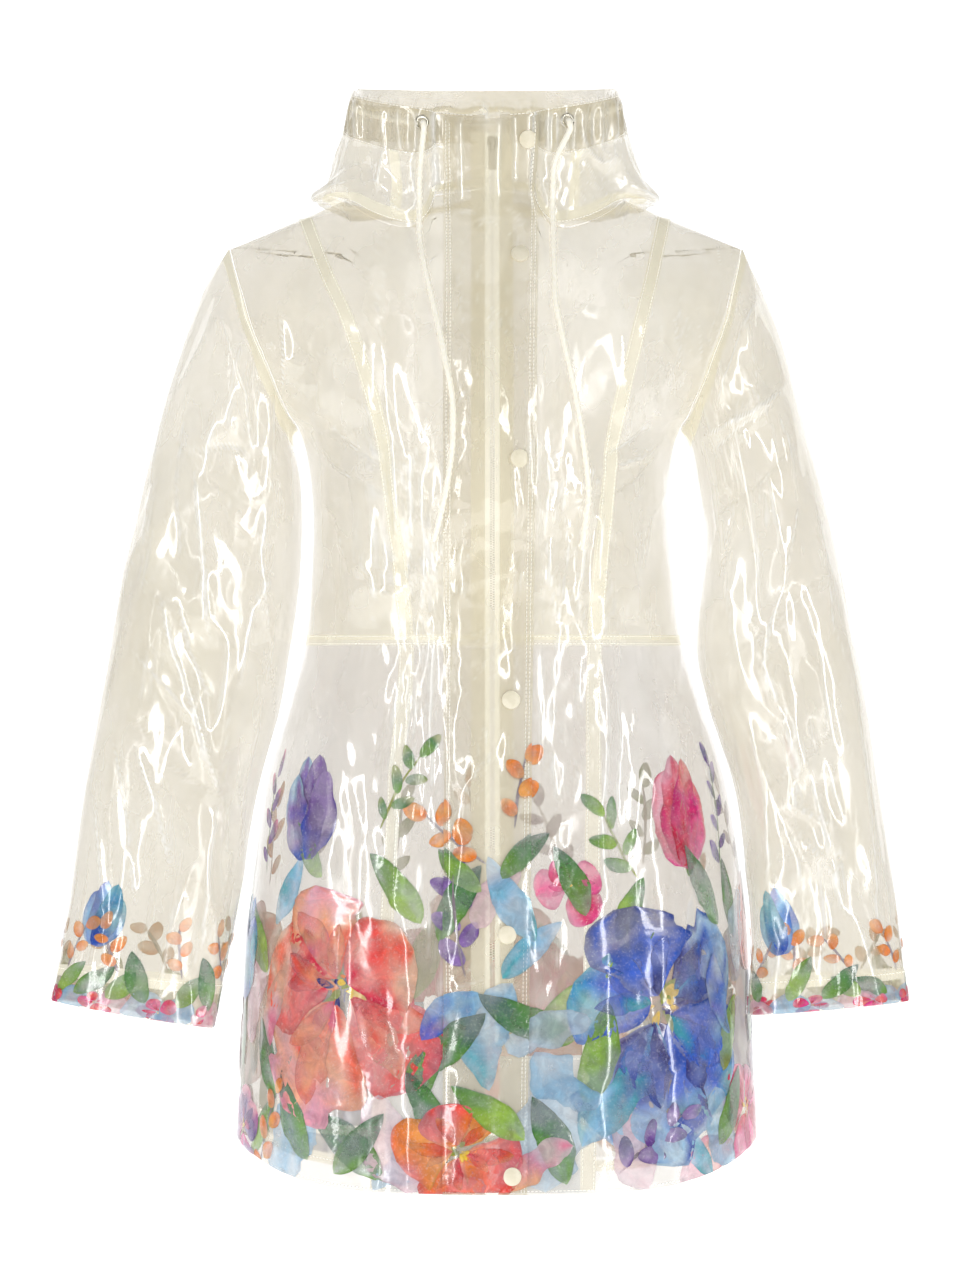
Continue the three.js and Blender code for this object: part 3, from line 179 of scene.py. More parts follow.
def shoulder_line(x):
    return SHOULDER_TOP - SHOULDER_DROP * np.abs(x)


def squared_round(x, z):
    s = (shoulder_line(x) - z) / SHOULDER_ROUND
    return np.where(s < 1, s * (2 - s), 1)


def body_level(x, y, z):
    depth, width = depth_at(np.sign(y), z), column(BODY, "half_width", z)
    return squared_round(x, z) * (1 - (x / width) ** 2) - (y / depth) ** 2


# Creases: soft ridges and troughs, given as seen from the front or the back. Each row is
# the side, the height, the width and the points that the crease runs through.
FOLDS = [
    (FRONT, 5, 14, (-112, -215), (-102, -345)), (FRONT, 3, 10, (64, -225), (60, -345)),
    (FRONT, 5, 14, (130, -215), (118, -345)), (FRONT, 7, 24, (-128, -400), (-158, -790)),
    (FRONT, 7, 24, (132, -400), (168, -790)), (FRONT, 4, 18, (-66, -395), (-64, -810)),
    (FRONT, 4, 18, (88, -395), (98, -810)), (FRONT, -4, 16, (-170, -85), (-148, -175)),
    (FRONT, -4, 16, (176, -80), (150, -180)), (BACK, 5, 20, (-95, -235), (-70, -355)),
    (BACK, 5, 20, (95, -235), (72, -355)), (BACK, 8, 26, (-120, -400), (-150, -790)),
    (BACK, 6, 26, (-30, -420), (-38, -800)), (BACK, 7, 26, (60, -410), (70, -800)),
    (BACK, 7, 24, (130, -400), (162, -790)),
]
BODY_CREASES = [
    (FRONT, 2.4, 5, (-80, -205), (-76, -262), (-82, -330)),
    (FRONT, -2.0, 5, (-68, -218), (-64, -278), (-72, -350)),
    (FRONT, 2.2, 4, (-55, -246), (-52, -310), (-60, -362)),
    (FRONT, 1.6, 4, (-94, -190), (-99, -240), (-92, -300), (-97, -352)),
    (FRONT, 2.2, 5, (46, -208), (52, -262), (47, -328)),
    (FRONT, -2.0, 5, (58, -228), (65, -294), (55, -360)),
    (FRONT, 2.4, 5, (74, -220), (80, -278), (71, -345)),
    (FRONT, 1.8, 4, (92, -262), (89, -318), (96, -360)),
    (FRONT, 2.6, 6, (-76, -400), (-79, -458), (-74, -520), (-80, -585)),
    (FRONT, -2.2, 5, (-60, -382), (-63, -438), (-58, -495)),
    (FRONT, 2.0, 5, (-49, -380), (-50, -430), (-46, -486)),
    (FRONT, 2.4, 6, (92, -380), (97, -438), (90, -502), (94, -570)),
    (FRONT, -2.0, 5, (104, -388), (108, -445), (102, -520)),
    (FRONT, 2.0, 5, (52, -380), (48, -446), (54, -496)),
    (FRONT, 3.0, 8, (172, -410), (178, -470), (186, -536)),
    (FRONT, -2.4, 7, (158, -420), (160, -490), (172, -560), (170, -640)),
    (FRONT, 3.0, 8, (-152, -410), (-164, -470), (-170, -540), (-168, -620)),
    (FRONT, -2.2, 7, (-132, -420), (-138, -490), (-146, -560)),
    (FRONT, 2.0, 6, (-118, -560), (-122, -640), (-130, -730), (-128, -800)),
    (FRONT, -2.0, 6, (126, -560), (130, -650), (140, -740), (138, -800)),
    (FRONT, 2.6, 6, (-152, -296), (-158, -340), (-168, -390)),
    (FRONT, -2.6, 6, (-160, -170), (-146, -206), (-140, -222)),
    (FRONT, 2.2, 6, (-146, -196), (-128, -222), (-110, -232)),
    (FRONT, 2.2, 6, (148, -196), (126, -214), (104, -222)),
    (FRONT, -2.0, 5, (-132, -188), (-108, -212), (-90, -222)),
    (FRONT, -2.0, 5, (136, -184), (112, -204), (96, -214)),
    (FRONT, 2.0, 6, (-150, -240), (-128, -262), (-118, -300)),
    (FRONT, 2.0, 6, (150, -236), (132, -262), (124, -304)),
    (BACK, 3.0, 7, (-150, -200), (-110, -232), (-60, -250)),
    (BACK, 3.0, 7, (150, -200), (112, -236), (64, -248)),
    (BACK, 2.6, 7, (-40, -230), (-46, -290), (-38, -352)),
    (BACK, 2.6, 7, (36, -240), (42, -300), (34, -355)),
    (BACK, 2.6, 8, (-86, -392), (-92, -470), (-86, -560)),
    (BACK, 2.6, 8, (92, -392), (98, -480), (90, -580)),
    (BACK, -2.4, 7, (10, -400), (14, -480), (6, -570)),
    (BACK, 2.2, 8, (-100, -60), (-60, -96), (0, -104), (60, -96), (100, -60)),
]


def crease_height(creases, side, x, z, sharp=1.0):
    """Height of the creases at points seen from the front, in millimetres."""
    height = np.zeros(np.broadcast(x, z).shape)
    for crease_side, tall, width, *points in creases:
        nearest = np.full(height.shape, 1e9)
        share = np.zeros(height.shape)
        cells = len(points) - 1
        for k, ((x1, z1), (x2, z2)) in enumerate(zip(points, points[1:])):
            dx, dz = x2 - x1, z2 - z1
            along = ((x - x1) * dx + (z - z1) * dz) / (dx * dx + dz * dz)
            f = np.clip(along, 0, 1)
            away = np.hypot(x - x1 - f * dx, z - z1 - f * dz)
            closer = away < nearest
            nearest = np.where(closer, away, nearest)
            ends = np.clip(along, 0 if k else -0.2, 1 if k < cells - 1 else 1.2)
            share = np.where(closer, (k + ends) / cells, share)
        ends = smoothstep(share, -0.1, 0.25) * (1 - smoothstep(share, 0.8, 1.15))
        away = nearest / width
        profile = sharp * np.exp(-1.6 * away) + (1 - sharp) * np.exp(-away * away)
        height += np.where(side == crease_side, tall * profile * ends, 0)
    return height


def body_relief(side, x, z):
    """Creases and crumple of the body's film: strongest beside the flap from the bust to the hips."""
    beside = np.exp(-((np.abs(x - ZIP_X) - 68) / 38) ** 2) * smoothstep(-z, 150, 230)
    beside *= 1 - 0.75 * smoothstep(-z, 560, 700)
    edge = smoothstep(np.abs(x - lean(z)), 110, 170) * smoothstep(-z, 60, 140)
    strong = np.where(side < 0, 0.32 + 1.1 * beside + 0.5 * edge, 0.55 + 0.3 * edge)
    tall = crumple(x / 25 + 7 * side, z / 84, 11) * 2.8 + crumple(x / 12, z / 34 + 3 * side, 12) * 0.8
    fine = crease_height(BODY_CREASES, side, x, z, 0.75)
    return strong * tall + fine


def body_point(side, x, z, height=0.0, relief=True):
    """A point of the body at distance x from its middle, on the front (-1) or back (1)."""
    side, x, z, height = np.broadcast_arrays(*[np.asarray(a, float) for a in (side, x, z, height)])
    depth, width = depth_at(side, z), column(BODY, "half_width", z)
    y = side * depth * np.sqrt(np.maximum(0, squared_round(x, z) * (1 - (x / width) ** 2)))
    e = 0.05
    near = side * np.maximum(np.abs(y), e)
    normal = np.stack([
        body_level(x - e, near, z) - body_level(x + e, near, z),
        side * (body_level(x, near - side * e, z) - body_level(x, near + side * e, z)),
        body_level(x, near, z - e) - body_level(x, near, z + e),
    ], -1)
    normal /= np.linalg.norm(normal, axis=-1, keepdims=True)
    world_x = x + lean(z)
    face = np.clip(1.4 * side * normal[..., 1], 0, 1)
    moved = face * crease_height(FOLDS, side, world_x, z, 0)
    if relief:
        moved = moved + face * body_relief(side, world_x, z)
    return np.stack([world_x, y, z], -1) + normal * (moved + height)[..., None]


# Panels of the body: grids between the zip, the princess seams and the armhole or side seam.


def princess(wearer, z):
    return column(PRINCESS, "right" if wearer < 0 else "left", z)


def section_angle(x, z):
    return np.arcsin(np.clip(x / column(BODY, "half_width", z), -1, 1))


def front_angle(wearer):
    return lambda z: section_angle(ZIP_HALF_GAP + wearer * (ZIP_X - lean(z)), z)


def princess_angle(wearer):
    return lambda z: section_angle(princess(wearer, z), z)


def edge_angle(z):
    middle, half = (ARMHOLE_TOP + UNDERARM) / 2, (ARMHOLE_TOP - UNDERARM) / 2
    return math.pi / 2 - ARMHOLE_TURN * np.sqrt(np.maximum(0, 1 - ((z - middle) / half) ** 2))


def hem_level(angle):
    return HEM + HEM_SIDE_RISE * np.abs(np.sin(angle)) ** 5


UNDERARM_ROW, ROUND_ROW = 0.47, 0.58


def bodice_level(side, v, x):
    """Level of a bodice point: straight up to where the shoulder starts to round, then round it."""
    round_start = shoulder_line(x) - SHOULDER_ROUND
    level = np.minimum(UNDERARM, round_start - 10)
    z = shoulder_line(x)
    neck = np.where(side < 0, NECK_FRONT, NECK_BACK)
    target = neck * np.sqrt(1 - np.minimum(1, np.abs(x) / NECK_HALF_WIDTH) ** 2)
    top = z
    for _ in range(8):
        share = np.sqrt(np.maximum(0.0004, 1 - (x / column(BODY, "half_width", top)) ** 2))
        round_share = np.minimum(1, target / (depth_at(side, top) * share))
        top = z - SHOULDER_ROUND * (1 - np.sqrt(1 - round_share**2))
    top_angle = np.arccos(np.clip(1 - (z - top) / SHOULDER_ROUND, -1, 1))
    f = np.clip((v - ROUND_ROW) / (1 - ROUND_ROW), 0, 1)
    rounded = z - SHOULDER_ROUND * (1 - np.cos(math.pi / 2 + (top_angle - math.pi / 2) * f))
    low = WAIST + (level - WAIST) * v / UNDERARM_ROW
    middle = level + (round_start - level) * (v - UNDERARM_ROW) / (ROUND_ROW - UNDERARM_ROW)
    return np.where(v <= UNDERARM_ROW, low, np.where(v <= ROUND_ROW, middle, rounded))


def bodice_place(side, wearer, inner, outer, u, v):
    z = np.full(u.shape, float(WAIST))
    x = z
    for _ in range(10):
        x = column(BODY, "half_width", z) * np.sin(inner(z) + (outer(z) - inner(z)) * u)
        z = bodice_level(side, v, np.abs(x))
    return wearer * x, z


def skirt_place(side, wearer, inner, outer, u, v):
    z = np.full(u.shape, float(HEM))
    angle = z
    for _ in range(8):
        angle = inner(z) + (outer(z) - inner(z)) * u
        z = WAIST + (hem_level(angle) - WAIST) * v
    return wearer * column(BODY, "half_width", z) * np.sin(angle), z


def unit_grid(node):
    width, length, area = CUT[node]
    across, down = (round(size / MM / FILM_STEP) + 1 for size in (area / length, length))
    return np.meshgrid(np.linspace(0, 1, across), np.linspace(0, 1, down))


cloth = []


def grid_normals(points):
    """The cross product of the steps along a row and along a column, at unit length."""
    normal = np.cross(np.gradient(points, axis=1), np.gradient(points, axis=0))
    return normal / np.maximum(np.linalg.norm(normal, axis=-1, keepdims=True), 1e-9)


def kinks(steps, axis, normals):
    """How far the way turns out of the surface from one step to the next."""
    way = steps / np.maximum(np.linalg.norm(steps, axis=-1, keepdims=True), 1e-9)
    return np.abs((np.diff(way, axis=axis) * normals).sum(-1))


def crease_highlight_values(points, closed):
    """How sharply a grid bends at each point, from 0 to 1: the film material paints a white highlight there."""
    wide = np.concatenate([points[:, -1:], points, points[:, :1]], 1) if closed else np.pad(points, ((0, 0), (1, 1), (0, 0)), "edge")
    tall = np.pad(points, ((1, 1), (0, 0), (0, 0)), "edge")
    normals = grid_normals(points)
    across, along = kinks(np.diff(wide, axis=1), 1, normals), kinks(np.diff(tall, axis=0), 0, normals)
    return np.clip((np.maximum(across, along) - 0.12) / 0.5, 0, 1)


def cloth_piece(name, points, slot="film", closed=False, nodes=None):
    """A grid of film in place of CAD nodes."""
    rows, columns = points.shape[:2]
    # The bend values feed a painted highlight in the film material.
    values = {"CreaseHighlight": crease_highlight_values(points, closed).ravel()}
    piece = mesh_object(f"film_{name}", points, grid_faces(rows, columns, closed), values)
    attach(piece, "coat")
    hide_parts(*(nodes or [name]))
    cloth.append((piece, slot))
    return piece


FILM_STEP = 2.6
CUT = {
    "front_bodice_centre_right": (0.19, 0.415, 0.037), "front_bodice_centre_left": (0.175, 0.41, 0.039),
    "front_bodice_side_right": (0.13, 0.4, 0.039), "front_bodice_side_left": (0.12, 0.395, 0.035),
    "front_skirt_centre_right": (0.09, 0.45, 0.036), "front_skirt_centre_left": (0.08, 0.45, 0.034),
    "front_skirt_side_right": (0.19, 0.45, 0.075), "front_skirt_side_left": (0.215, 0.45, 0.081),
    "back_bodice": (0.495, 0.42, 0.155), "back_skirt": (0.585, 0.45, 0.228),
    "sleeve_right": (0.43, 0.65, 0.21), "sleeve_left": (0.415, 0.645, 0.19),
    "hood_front_right": (0.09, 0.1, 0.0067), "hood_front_left": (0.08, 0.1, 0.006),
    "hood_back": (0.6, 0.17, 0.075), "hood_casing": (0.67, 0.053, 0.027),
    "storm_flap": (0.085, 0.9, 0.067),
}

for wearer, name in ((-1, "right"), (1, "left")):
    seam = princess_angle(wearer)
    bounds = {"centre": (front_angle(wearer), seam), "side": (seam, edge_angle)}
    for part, (inner, outer) in bounds.items():
        node = f"front_bodice_{part}_{name}"
        x, z = bodice_place(FRONT, wearer, inner, outer, *unit_grid(node))
        cloth_piece(node, body_point(FRONT, x, z))
        node = f"front_skirt_{part}_{name}"
        x, z = skirt_place(FRONT, wearer, inner, outer, *unit_grid(node))
        cloth_piece(node, body_point(FRONT, x, z), "print")

x, z = bodice_place(BACK, 1, lambda z: -edge_angle(z), edge_angle, *unit_grid("back_bodice"))
cloth_piece("back_bodice", body_point(BACK, x, z), nodes=["back_bodice_right", "back_bodice_left"])
x, z = skirt_place(BACK, 1, lambda z: -edge_angle(z), edge_angle, *unit_grid("back_skirt"))
cloth_piece("back_skirt", body_point(BACK, x, z), "print", nodes=["back_skirt_right", "back_skirt_left"])

# Sleeves: tilted ellipses from the armhole to the cuff. Each row gives the outer and inner edge as
# seen from the front, how far the middle stands forward, and half the depth.
SLEEVES = {
    "right": table("outer_x outer_z inner_x inner_z y depth", [
        (-239, -71, -163, -198, -2, 56), (-259, -122, -157, -232, -4, 58),
        (-279, -184, -156, -278, -6, 57), (-297, -265, -160, -328, -10, 54),
        (-311, -332, -167, -378, -14, 51), (-325, -416, -176, -428, -20, 47),
        (-338, -490, -194, -494, -26, 42), (-348, -567, -207, -574, -32, 37),
        (-356, -622, -218, -634, -38, 32), (-364, -664, -229, -687, -44, 27),
    ]),
    "left": table("outer_x outer_z inner_x inner_z y depth", [
        (228, -71, 167, -203, -2, 56), (247, -120, 174, -239, -4, 58),
        (264, -181, 180, -281, -6, 57), (284, -260, 177, -323, -10, 54),
        (300, -340, 173, -374, -14, 51), (313, -407, 184, -424, -20, 47),
        (325, -487, 204, -495, -27, 42), (337, -571, 215, -575, -34, 37),
        (344, -626, 217, -634, -41, 32), (348, -664, 214, -676, -48, 27),
    ]),
}
WEARER = {"right": -1, "left": 1}
SLEEVE_ROWS = 10
SLEEVE_FOLDS = {
    "right": [
        (FRONT, 6, 14, (-222, -90), (-200, -165)), (FRONT, 5, 13, (-200, -160), (-247, -214)),
        (FRONT, 5, 15, (-240, -220), (-230, -365)), (FRONT, 5, 15, (-274, -332), (-235, -475)),
        (FRONT, 4, 14, (-214, -400), (-240, -560)), (BACK, 5, 16, (-270, -250), (-215, -360)),
        (BACK, 5, 16, (-290, -380), (-230, -500)),
    ],
    "left": [
        (FRONT, 6, 14, (226, -75), (196, -162)), (FRONT, 5, 12, (248, -158), (190, -196)),
        (FRONT, 5, 14, (250, -200), (240, -325)), (FRONT, 5, 15, (240, -330), (258, -475)),
        (FRONT, 4, 13, (292, -520), (248, -565)), (BACK, 5, 16, (262, -240), (212, -350)),
        (BACK, 5, 16, (290, -390), (236, -510)),
    ],
}
SLEEVE_CREASES = {
    "right": [
        (FRONT, 3.2, 6, (-224, -90), (-208, -146), (-200, -166), (-198, -208)),
        (FRONT, 2.6, 6, (-224, -90), (-190, -132), (-170, -162)),
        (FRONT, -2.6, 6, (-198, -208), (-222, -204), (-246, -212)),
        (FRONT, 2.8, 6, (-246, -212), (-238, -290), (-232, -364)),
        (FRONT, 3.0, 6, (-272, -330), (-262, -374), (-246, -414), (-234, -474)),
        (FRONT, -2.4, 6, (-258, -330), (-248, -372), (-232, -410)),
        (FRONT, 2.8, 7, (-300, -372), (-268, -404), (-244, -428), (-224, -490)),
        (FRONT, 2.2, 5, (-296, -450), (-276, -500), (-262, -560)),
        (FRONT, -2.2, 6, (-316, -440), (-300, -520), (-292, -590)),
        (FRONT, 2.6, 6, (-330, -480), (-322, -560), (-318, -630)),
        (FRONT, 2.0, 5, (-224, -500), (-232, -560), (-238, -620)),
        (FRONT, 2.4, 6, (-270, -150), (-282, -220), (-288, -290)),
        (FRONT, -2.0, 5, (-256, -170), (-262, -230), (-258, -300)),
        (FRONT, 2.2, 6, (-180, -230), (-190, -290), (-184, -360)),
        (FRONT, 2.2, 6, (-176, -300), (-196, -340), (-206, -400)),
        (BACK, 3.0, 7, (-280, -180), (-240, -230), (-190, -260)),
        (BACK, 3.0, 7, (-300, -300), (-250, -350), (-200, -380)),
        (BACK, 2.6, 7, (-310, -420), (-270, -470), (-220, -500)),
    ],
    "left": [
        (FRONT, 3.2, 6, (228, -72), (208, -108), (194, -152), (188, -176)),
        (FRONT, 2.6, 6, (246, -156), (218, -176), (178, -196)),
        (FRONT, -2.4, 6, (238, -170), (210, -186), (186, -206)),
        (FRONT, 3.0, 7, (238, -172), (248, -200), (258, -250), (244, -318)),
        (FRONT, 2.8, 6, (244, -318), (232, -352), (226, -388), (240, -422)),
        (FRONT, 2.8, 6, (240, -422), (254, -470), (252, -502), (284, -520)),
        (FRONT, 2.4, 6, (284, -520), (290, -542), (286, -562), (248, -516)),
        (FRONT, -2.4, 6, (196, -236), (200, -262), (196, -284), (190, -314)),
        (FRONT, 2.2, 5, (186, -236), (190, -270), (184, -306)),
        (FRONT, 2.6, 6, (270, -240), (280, -300), (284, -360)),
        (FRONT, -2.2, 6, (262, -330), (276, -390), (286, -450)),
        (FRONT, 2.6, 6, (300, -390), (310, -460), (318, -540), (322, -610)),
        (FRONT, 2.2, 6, (214, -430), (228, -500), (232, -560)),
        (FRONT, -2.0, 5, (270, -560), (276, -600), (272, -640)),
        (FRONT, 2.0, 5, (232, -590), (240, -630), (236, -660)),
        (BACK, 3.0, 7, (270, -180), (232, -230), (190, -262)),
        (BACK, 3.0, 7, (290, -300), (242, -350), (196, -384)),
        (BACK, 2.6, 7, (306, -420), (262, -470), (216, -504)),
    ],
}


def catmull_rom(before, start, end, after, f):
    cubic = 2 * before - 5 * start + 4 * end - after + (3 * start - before - 3 * end + after) * f
    return start + 0.5 * (end - before + cubic * f) * f


def sleeve_ring(name, k, turn):
    wearer, rows = WEARER[name], SLEEVES[name]
    s = {key: values[np.clip(k, 1, SLEEVE_ROWS) - 1] for key, values in rows.items()}
    cos = np.cos(turn)
    ring = np.stack([
        (s["outer_x"] + s["inner_x"]) / 2 + (s["outer_x"] - s["inner_x"]) / 2 * cos,
        s["y"] - s["depth"] * np.sin(turn),
        (s["outer_z"] + s["inner_z"]) / 2 + (s["outer_z"] - s["inner_z"]) / 2 * cos,
    ], -1)
    first = np.broadcast_to(np.asarray(k) <= 0, cos.shape)
    turn = turn[first]
    z = ARMHOLE_TOP + (UNDERARM - ARMHOLE_TOP) * (1 - np.cos(turn)) / 2
    x = column(BODY, "half_width", z) * np.sin(edge_angle(z))
    armhole = body_point(np.where(np.sin(turn) > 0, FRONT, BACK), wearer * x, z)
    armhole[..., 0] += wearer * 0.6
    ring[first] = armhole
    return ring


def sleeve_base(name, turn, row):
    k = np.clip(np.floor(row).astype(int), 0, SLEEVE_ROWS - 1)
    rings = [sleeve_ring(name, np.clip(k + i, 0, SLEEVE_ROWS), turn) for i in (-1, 0, 1, 2)]
    point = catmull_rom(*rings, (row - k)[..., None])
    side = np.where(np.sin(turn) > 0, FRONT, BACK)
    facing = np.clip(1.3 * np.abs(np.sin(turn)) - 0.1, 0, 1) * smoothstep(row, 0.2, 1)
    point[..., 1] += side * facing * crease_height(SLEEVE_FOLDS[name], side, point[..., 0], point[..., 2], 0)
    return point


def normals_of(point_at, u, v, step_u, step_v):
    along_u = point_at(u + step_u, v) - point_at(u - step_u, v)
    along_v = point_at(u, v + step_v) - point_at(u, v - step_v)
    normal = np.cross(along_u, along_v)
    return normal / np.maximum(np.linalg.norm(normal, axis=-1, keepdims=True), 1e-9)


def sleeve_point(name, turn, row, height=0.0):
    turn, row = np.broadcast_arrays(np.asarray(turn, float), np.asarray(row, float))
    point = sleeve_base(name, turn, row)
    normal = WEARER[name] * normals_of(lambda a, b: sleeve_base(name, a, b), turn, row, 0.02, 0.02)
    x, z = point[..., 0], point[..., 2]
    side = np.where(np.sin(turn) > 0, FRONT, BACK)
    facing = np.clip(1.6 * np.abs(np.sin(turn)) - 0.15, 0, 1) * smoothstep(row, 0.3, 1.2)
    around = 60 * turn
    relief = crumple(around / 36, z / 118, 31 + WEARER[name]) * 3.8
    relief = relief + crumple(around / 18, z / 60, 37 + WEARER[name]) * 0.45
    relief = relief * (0.45 + 0.55 * facing) * smoothstep(row, 0.1, 0.9) * (1 - 0.6 * smoothstep(row, 9.3, 10))
    relief = relief + facing * crease_height(SLEEVE_CREASES[name], side, x, z, 0.75)
    return point + normal * (relief + height)[..., None]


for name in ("right", "left"):
    turns = np.linspace(0, 2 * math.pi, 134)[:-1]
    turn, row = np.meshgrid(turns, np.concatenate([np.linspace(0, 1, 20)[:-1], np.linspace(1, 10, 215)]))
    nodes = [f"sleeve_{part}_{half}_{name}" for part in ("upper", "lower") for half in ("front", "back")]
    cloth_piece(f"sleeve_{name}", sleeve_point(name, turn, row), closed=True, nodes=nodes)

# Hood: it stands up from the neck seam at the front and folds into a pouch behind. Each row gives
# how far it stands out from the neck seam and above it, at the front, the sides and the back.
HOOD = table("front_out front_up side_out side_up back_out back_up", [
    (0, 0, 0, 0, 0, 0), (-1, 10, 14, -1, 22, -7), (-1, 22, 28, 0, 48, -7), (0, 34, 15, 16, 60, 10),
    (1, 46, 7, 36, 61, 32), (2, 58, 1, 57, 50, 52), (3, 70, -2, 69, 40, 64), (3, 83, -5, 81, 26, 76),
    (3, 95, -8.5, 94, 10, 87),
])
HOOD_RIM, RIM_FRONT, RIM_SIDE_RISE, RIM_BACK_RISE = 8, 70, 28, 7
HOOD_BASE, HOOD_SEAM = 1.2, 40
CASING_ROW, HOOD_CORD_ROW = 5, 7


def neck_seam(turn):
    """The oval of the neck laid on the body, by its angle from the middle front."""
    side = np.where(np.cos(turn) > 0, FRONT, BACK)
    x = NECK_HALF_WIDTH * np.sin(turn)
    y = np.cos(turn) * np.where(side < 0, NECK_FRONT, NECK_BACK)
    z = np.zeros(x.shape)
    for _ in range(8):
        span = depth_at(side, z) * np.sqrt(1 - (x / column(BODY, "half_width", z)) ** 2)
        z = shoulder_line(x) - SHOULDER_ROUND * (1 - np.sqrt(1 - np.minimum(1, np.abs(y) / span) ** 2))
    return side, x, z


def hood_base(angle, row):
    turn = np.radians(angle)
    side, x, z = neck_seam(turn)
    seam = body_point(side, x, z, HOOD_BASE, relief=False)
    cos = np.cos(turn)
    front, back = smoothstep(cos, 0, 0.45), np.maximum(0, -cos) ** 1.5
    share = {"front": front, "back": back, "side": 1 - front - back}

    def mixed(name):
        def at(k):
            k = np.clip(k, 0, HOOD_RIM)
            return sum(share[part] * HOOD[f"{part}_{name}"][k] for part in share)

        k = np.clip(np.floor(row).astype(int), 0, HOOD_RIM - 1)
        return catmull_rom(at(k - 1), at(k), at(k + 1), at(k + 2), row - k)

    rim = np.where(
        cos > 0, RIM_FRONT + RIM_SIDE_RISE * (1 - np.maximum(cos, 0)) ** 0.75,
        RIM_FRONT + RIM_SIDE_RISE + RIM_BACK_RISE * -cos,
    )
    full = sum(share[part] * HOOD[f"{part}_up"][HOOD_RIM] for part in share)
    out = mixed("out")
    up = mixed("up") * (rim - seam[..., 2]) / full
    return seam + np.stack([out * np.sin(turn), -out * cos, up], -1)


def hood_point(angle, row, height=0.0):
    angle, row = np.broadcast_arrays(np.asarray(angle, float), np.asarray(row, float))
    point = hood_base(angle, row)
    normal = normals_of(hood_base, angle, row, 0.5, 0.02)
    signed = (angle + 180) % 360 - 180
    grown = smoothstep(row, 0.2, 1.5)
    cuff = smoothstep(row, 4.6, 5.4)
    relief = crumple(signed / 19, row / 3.2, 51) * 4.4 * (1 - 0.55 * cuff)
    relief = relief + crumple(signed / 9, row / 1.8, 54) * 0.7
    zip_side = np.exp(-(signed / 22) ** 2)
    relief = relief * grown * (1 - 0.7 * zip_side) * (1 - 0.7 * smoothstep(row, 7, 8))
    gathers = 1.5 * cuff * np.sin(np.radians(signed) * 34 + 2 * noise(signed / 20, row * 0, 57))
    gathers = gathers * (1 - smoothstep(np.abs(row - 6.3), 0.8, 1.7)) * (1 - zip_side)
    return point + normal * (relief + gathers + height)[..., None]


ZIP_ANGLE = math.degrees(math.asin((ZIP_X - LEAN_TOP) / NECK_HALF_WIDTH))
ZIP_EDGE_ANGLE = math.degrees(ZIP_HALF_GAP / NECK_HALF_WIDTH)
hood_spans = {
    "hood_front_right": (-HOOD_SEAM, ZIP_ANGLE - ZIP_EDGE_ANGLE),
    "hood_front_left": (ZIP_ANGLE + ZIP_EDGE_ANGLE, HOOD_SEAM),
    "hood_back": (HOOD_SEAM, 360 - HOOD_SEAM),
}
for node, (start, end) in hood_spans.items():
    angle, row = np.meshgrid(
        np.linspace(start, end, max(24, round((end - start) * 0.95))), np.linspace(0, HOOD_RIM, 60),
    )
    nodes = ["hood_back_right", "hood_back_left"] if node == "hood_back" else [node]
    cloth_piece(node, hood_point(angle, row), nodes=nodes)

CASING_DEPTH = table("row depth", [(5, 0.5), (6, 3.8), (7, 6.2), (7.5, 5), (7.97, 0.6)])
angle, row = np.meshgrid(np.linspace(ZIP_ANGLE + 6, 354 + ZIP_ANGLE, 330), np.linspace(CASING_ROW, 7.97, 22))
depth = np.interp(row, CASING_DEPTH["row"], CASING_DEPTH["depth"])
cloth_piece("hood_casing", hood_point(angle, row, -depth))

# The front along the zip: rails of points from the hem to the hood's edge at a distance from the
# zip, cut to even steps, so that the flap, zip tapes and stitches run over the neck seam.
RAIL_TOP = 7.86


def rail(from_zip, low, top_row, height=0.0, count=330):
    """Points from level low to a row of the hood, with heights that may depend on the level."""
    wearer = -1 if from_zip < 0 else 1
    levels = np.linspace(low, 12, 420)
    x = ZIP_X + from_zip - lean(levels)
    body_flat = body_point(FRONT, x, levels, 0.0)
    angle = math.degrees(math.asin((ZIP_X - LEAN_TOP + from_zip) / NECK_HALF_WIDTH))
    hood = hood_point(np.full(60, angle), np.linspace(0.25, top_row, 60))
    keep = body_flat[:, 2] < hood[0, 2] - 3
    points = np.concatenate([body_flat[keep], hood])
    length = np.concatenate([[0], np.cumsum(np.linalg.norm(np.diff(points, axis=0), axis=1))])
    even = np.linspace(0, length[-1], count)
    points = np.stack([np.interp(even, length, points[:, i]) for i in range(3)], -1)
    return points


def rails(distances, low, top_row, count):
    return np.stack([rail(d, low, top_row, count=count) for d in distances], 1)


FLAP_RIGHT, FLAP_LEFT_TOP, FLAP_LEFT_HEM = -40, 39, 28
FLAP_LIFT, FLAP_LIFT_AT_PULL = 4.6, 11.4


def flap_left(z):
    share = np.clip((RIM_FRONT - z) / (RIM_FRONT - HEM), 0, 1)
    return FLAP_LEFT_TOP + (FLAP_LEFT_HEM - FLAP_LEFT_TOP) * share


def at_pull(z):
    return smoothstep(z, -20, 15) * (1 - smoothstep(z, 60, 80))


def flap_lift(share, z):
    full = FLAP_LIFT + (FLAP_LIFT_AT_PULL - FLAP_LIFT) * at_pull(z)
    at_neck = 2 * smoothstep(z, -60, -20) * (1 - smoothstep(z, 5, 25))
    sewn = 2.0 + at_neck
    rising = sewn + (full - sewn) * smoothstep(share, 0, 0.22)
    return rising + (sewn + 0.8 - rising) * smoothstep(share, 0.54, 0.76)


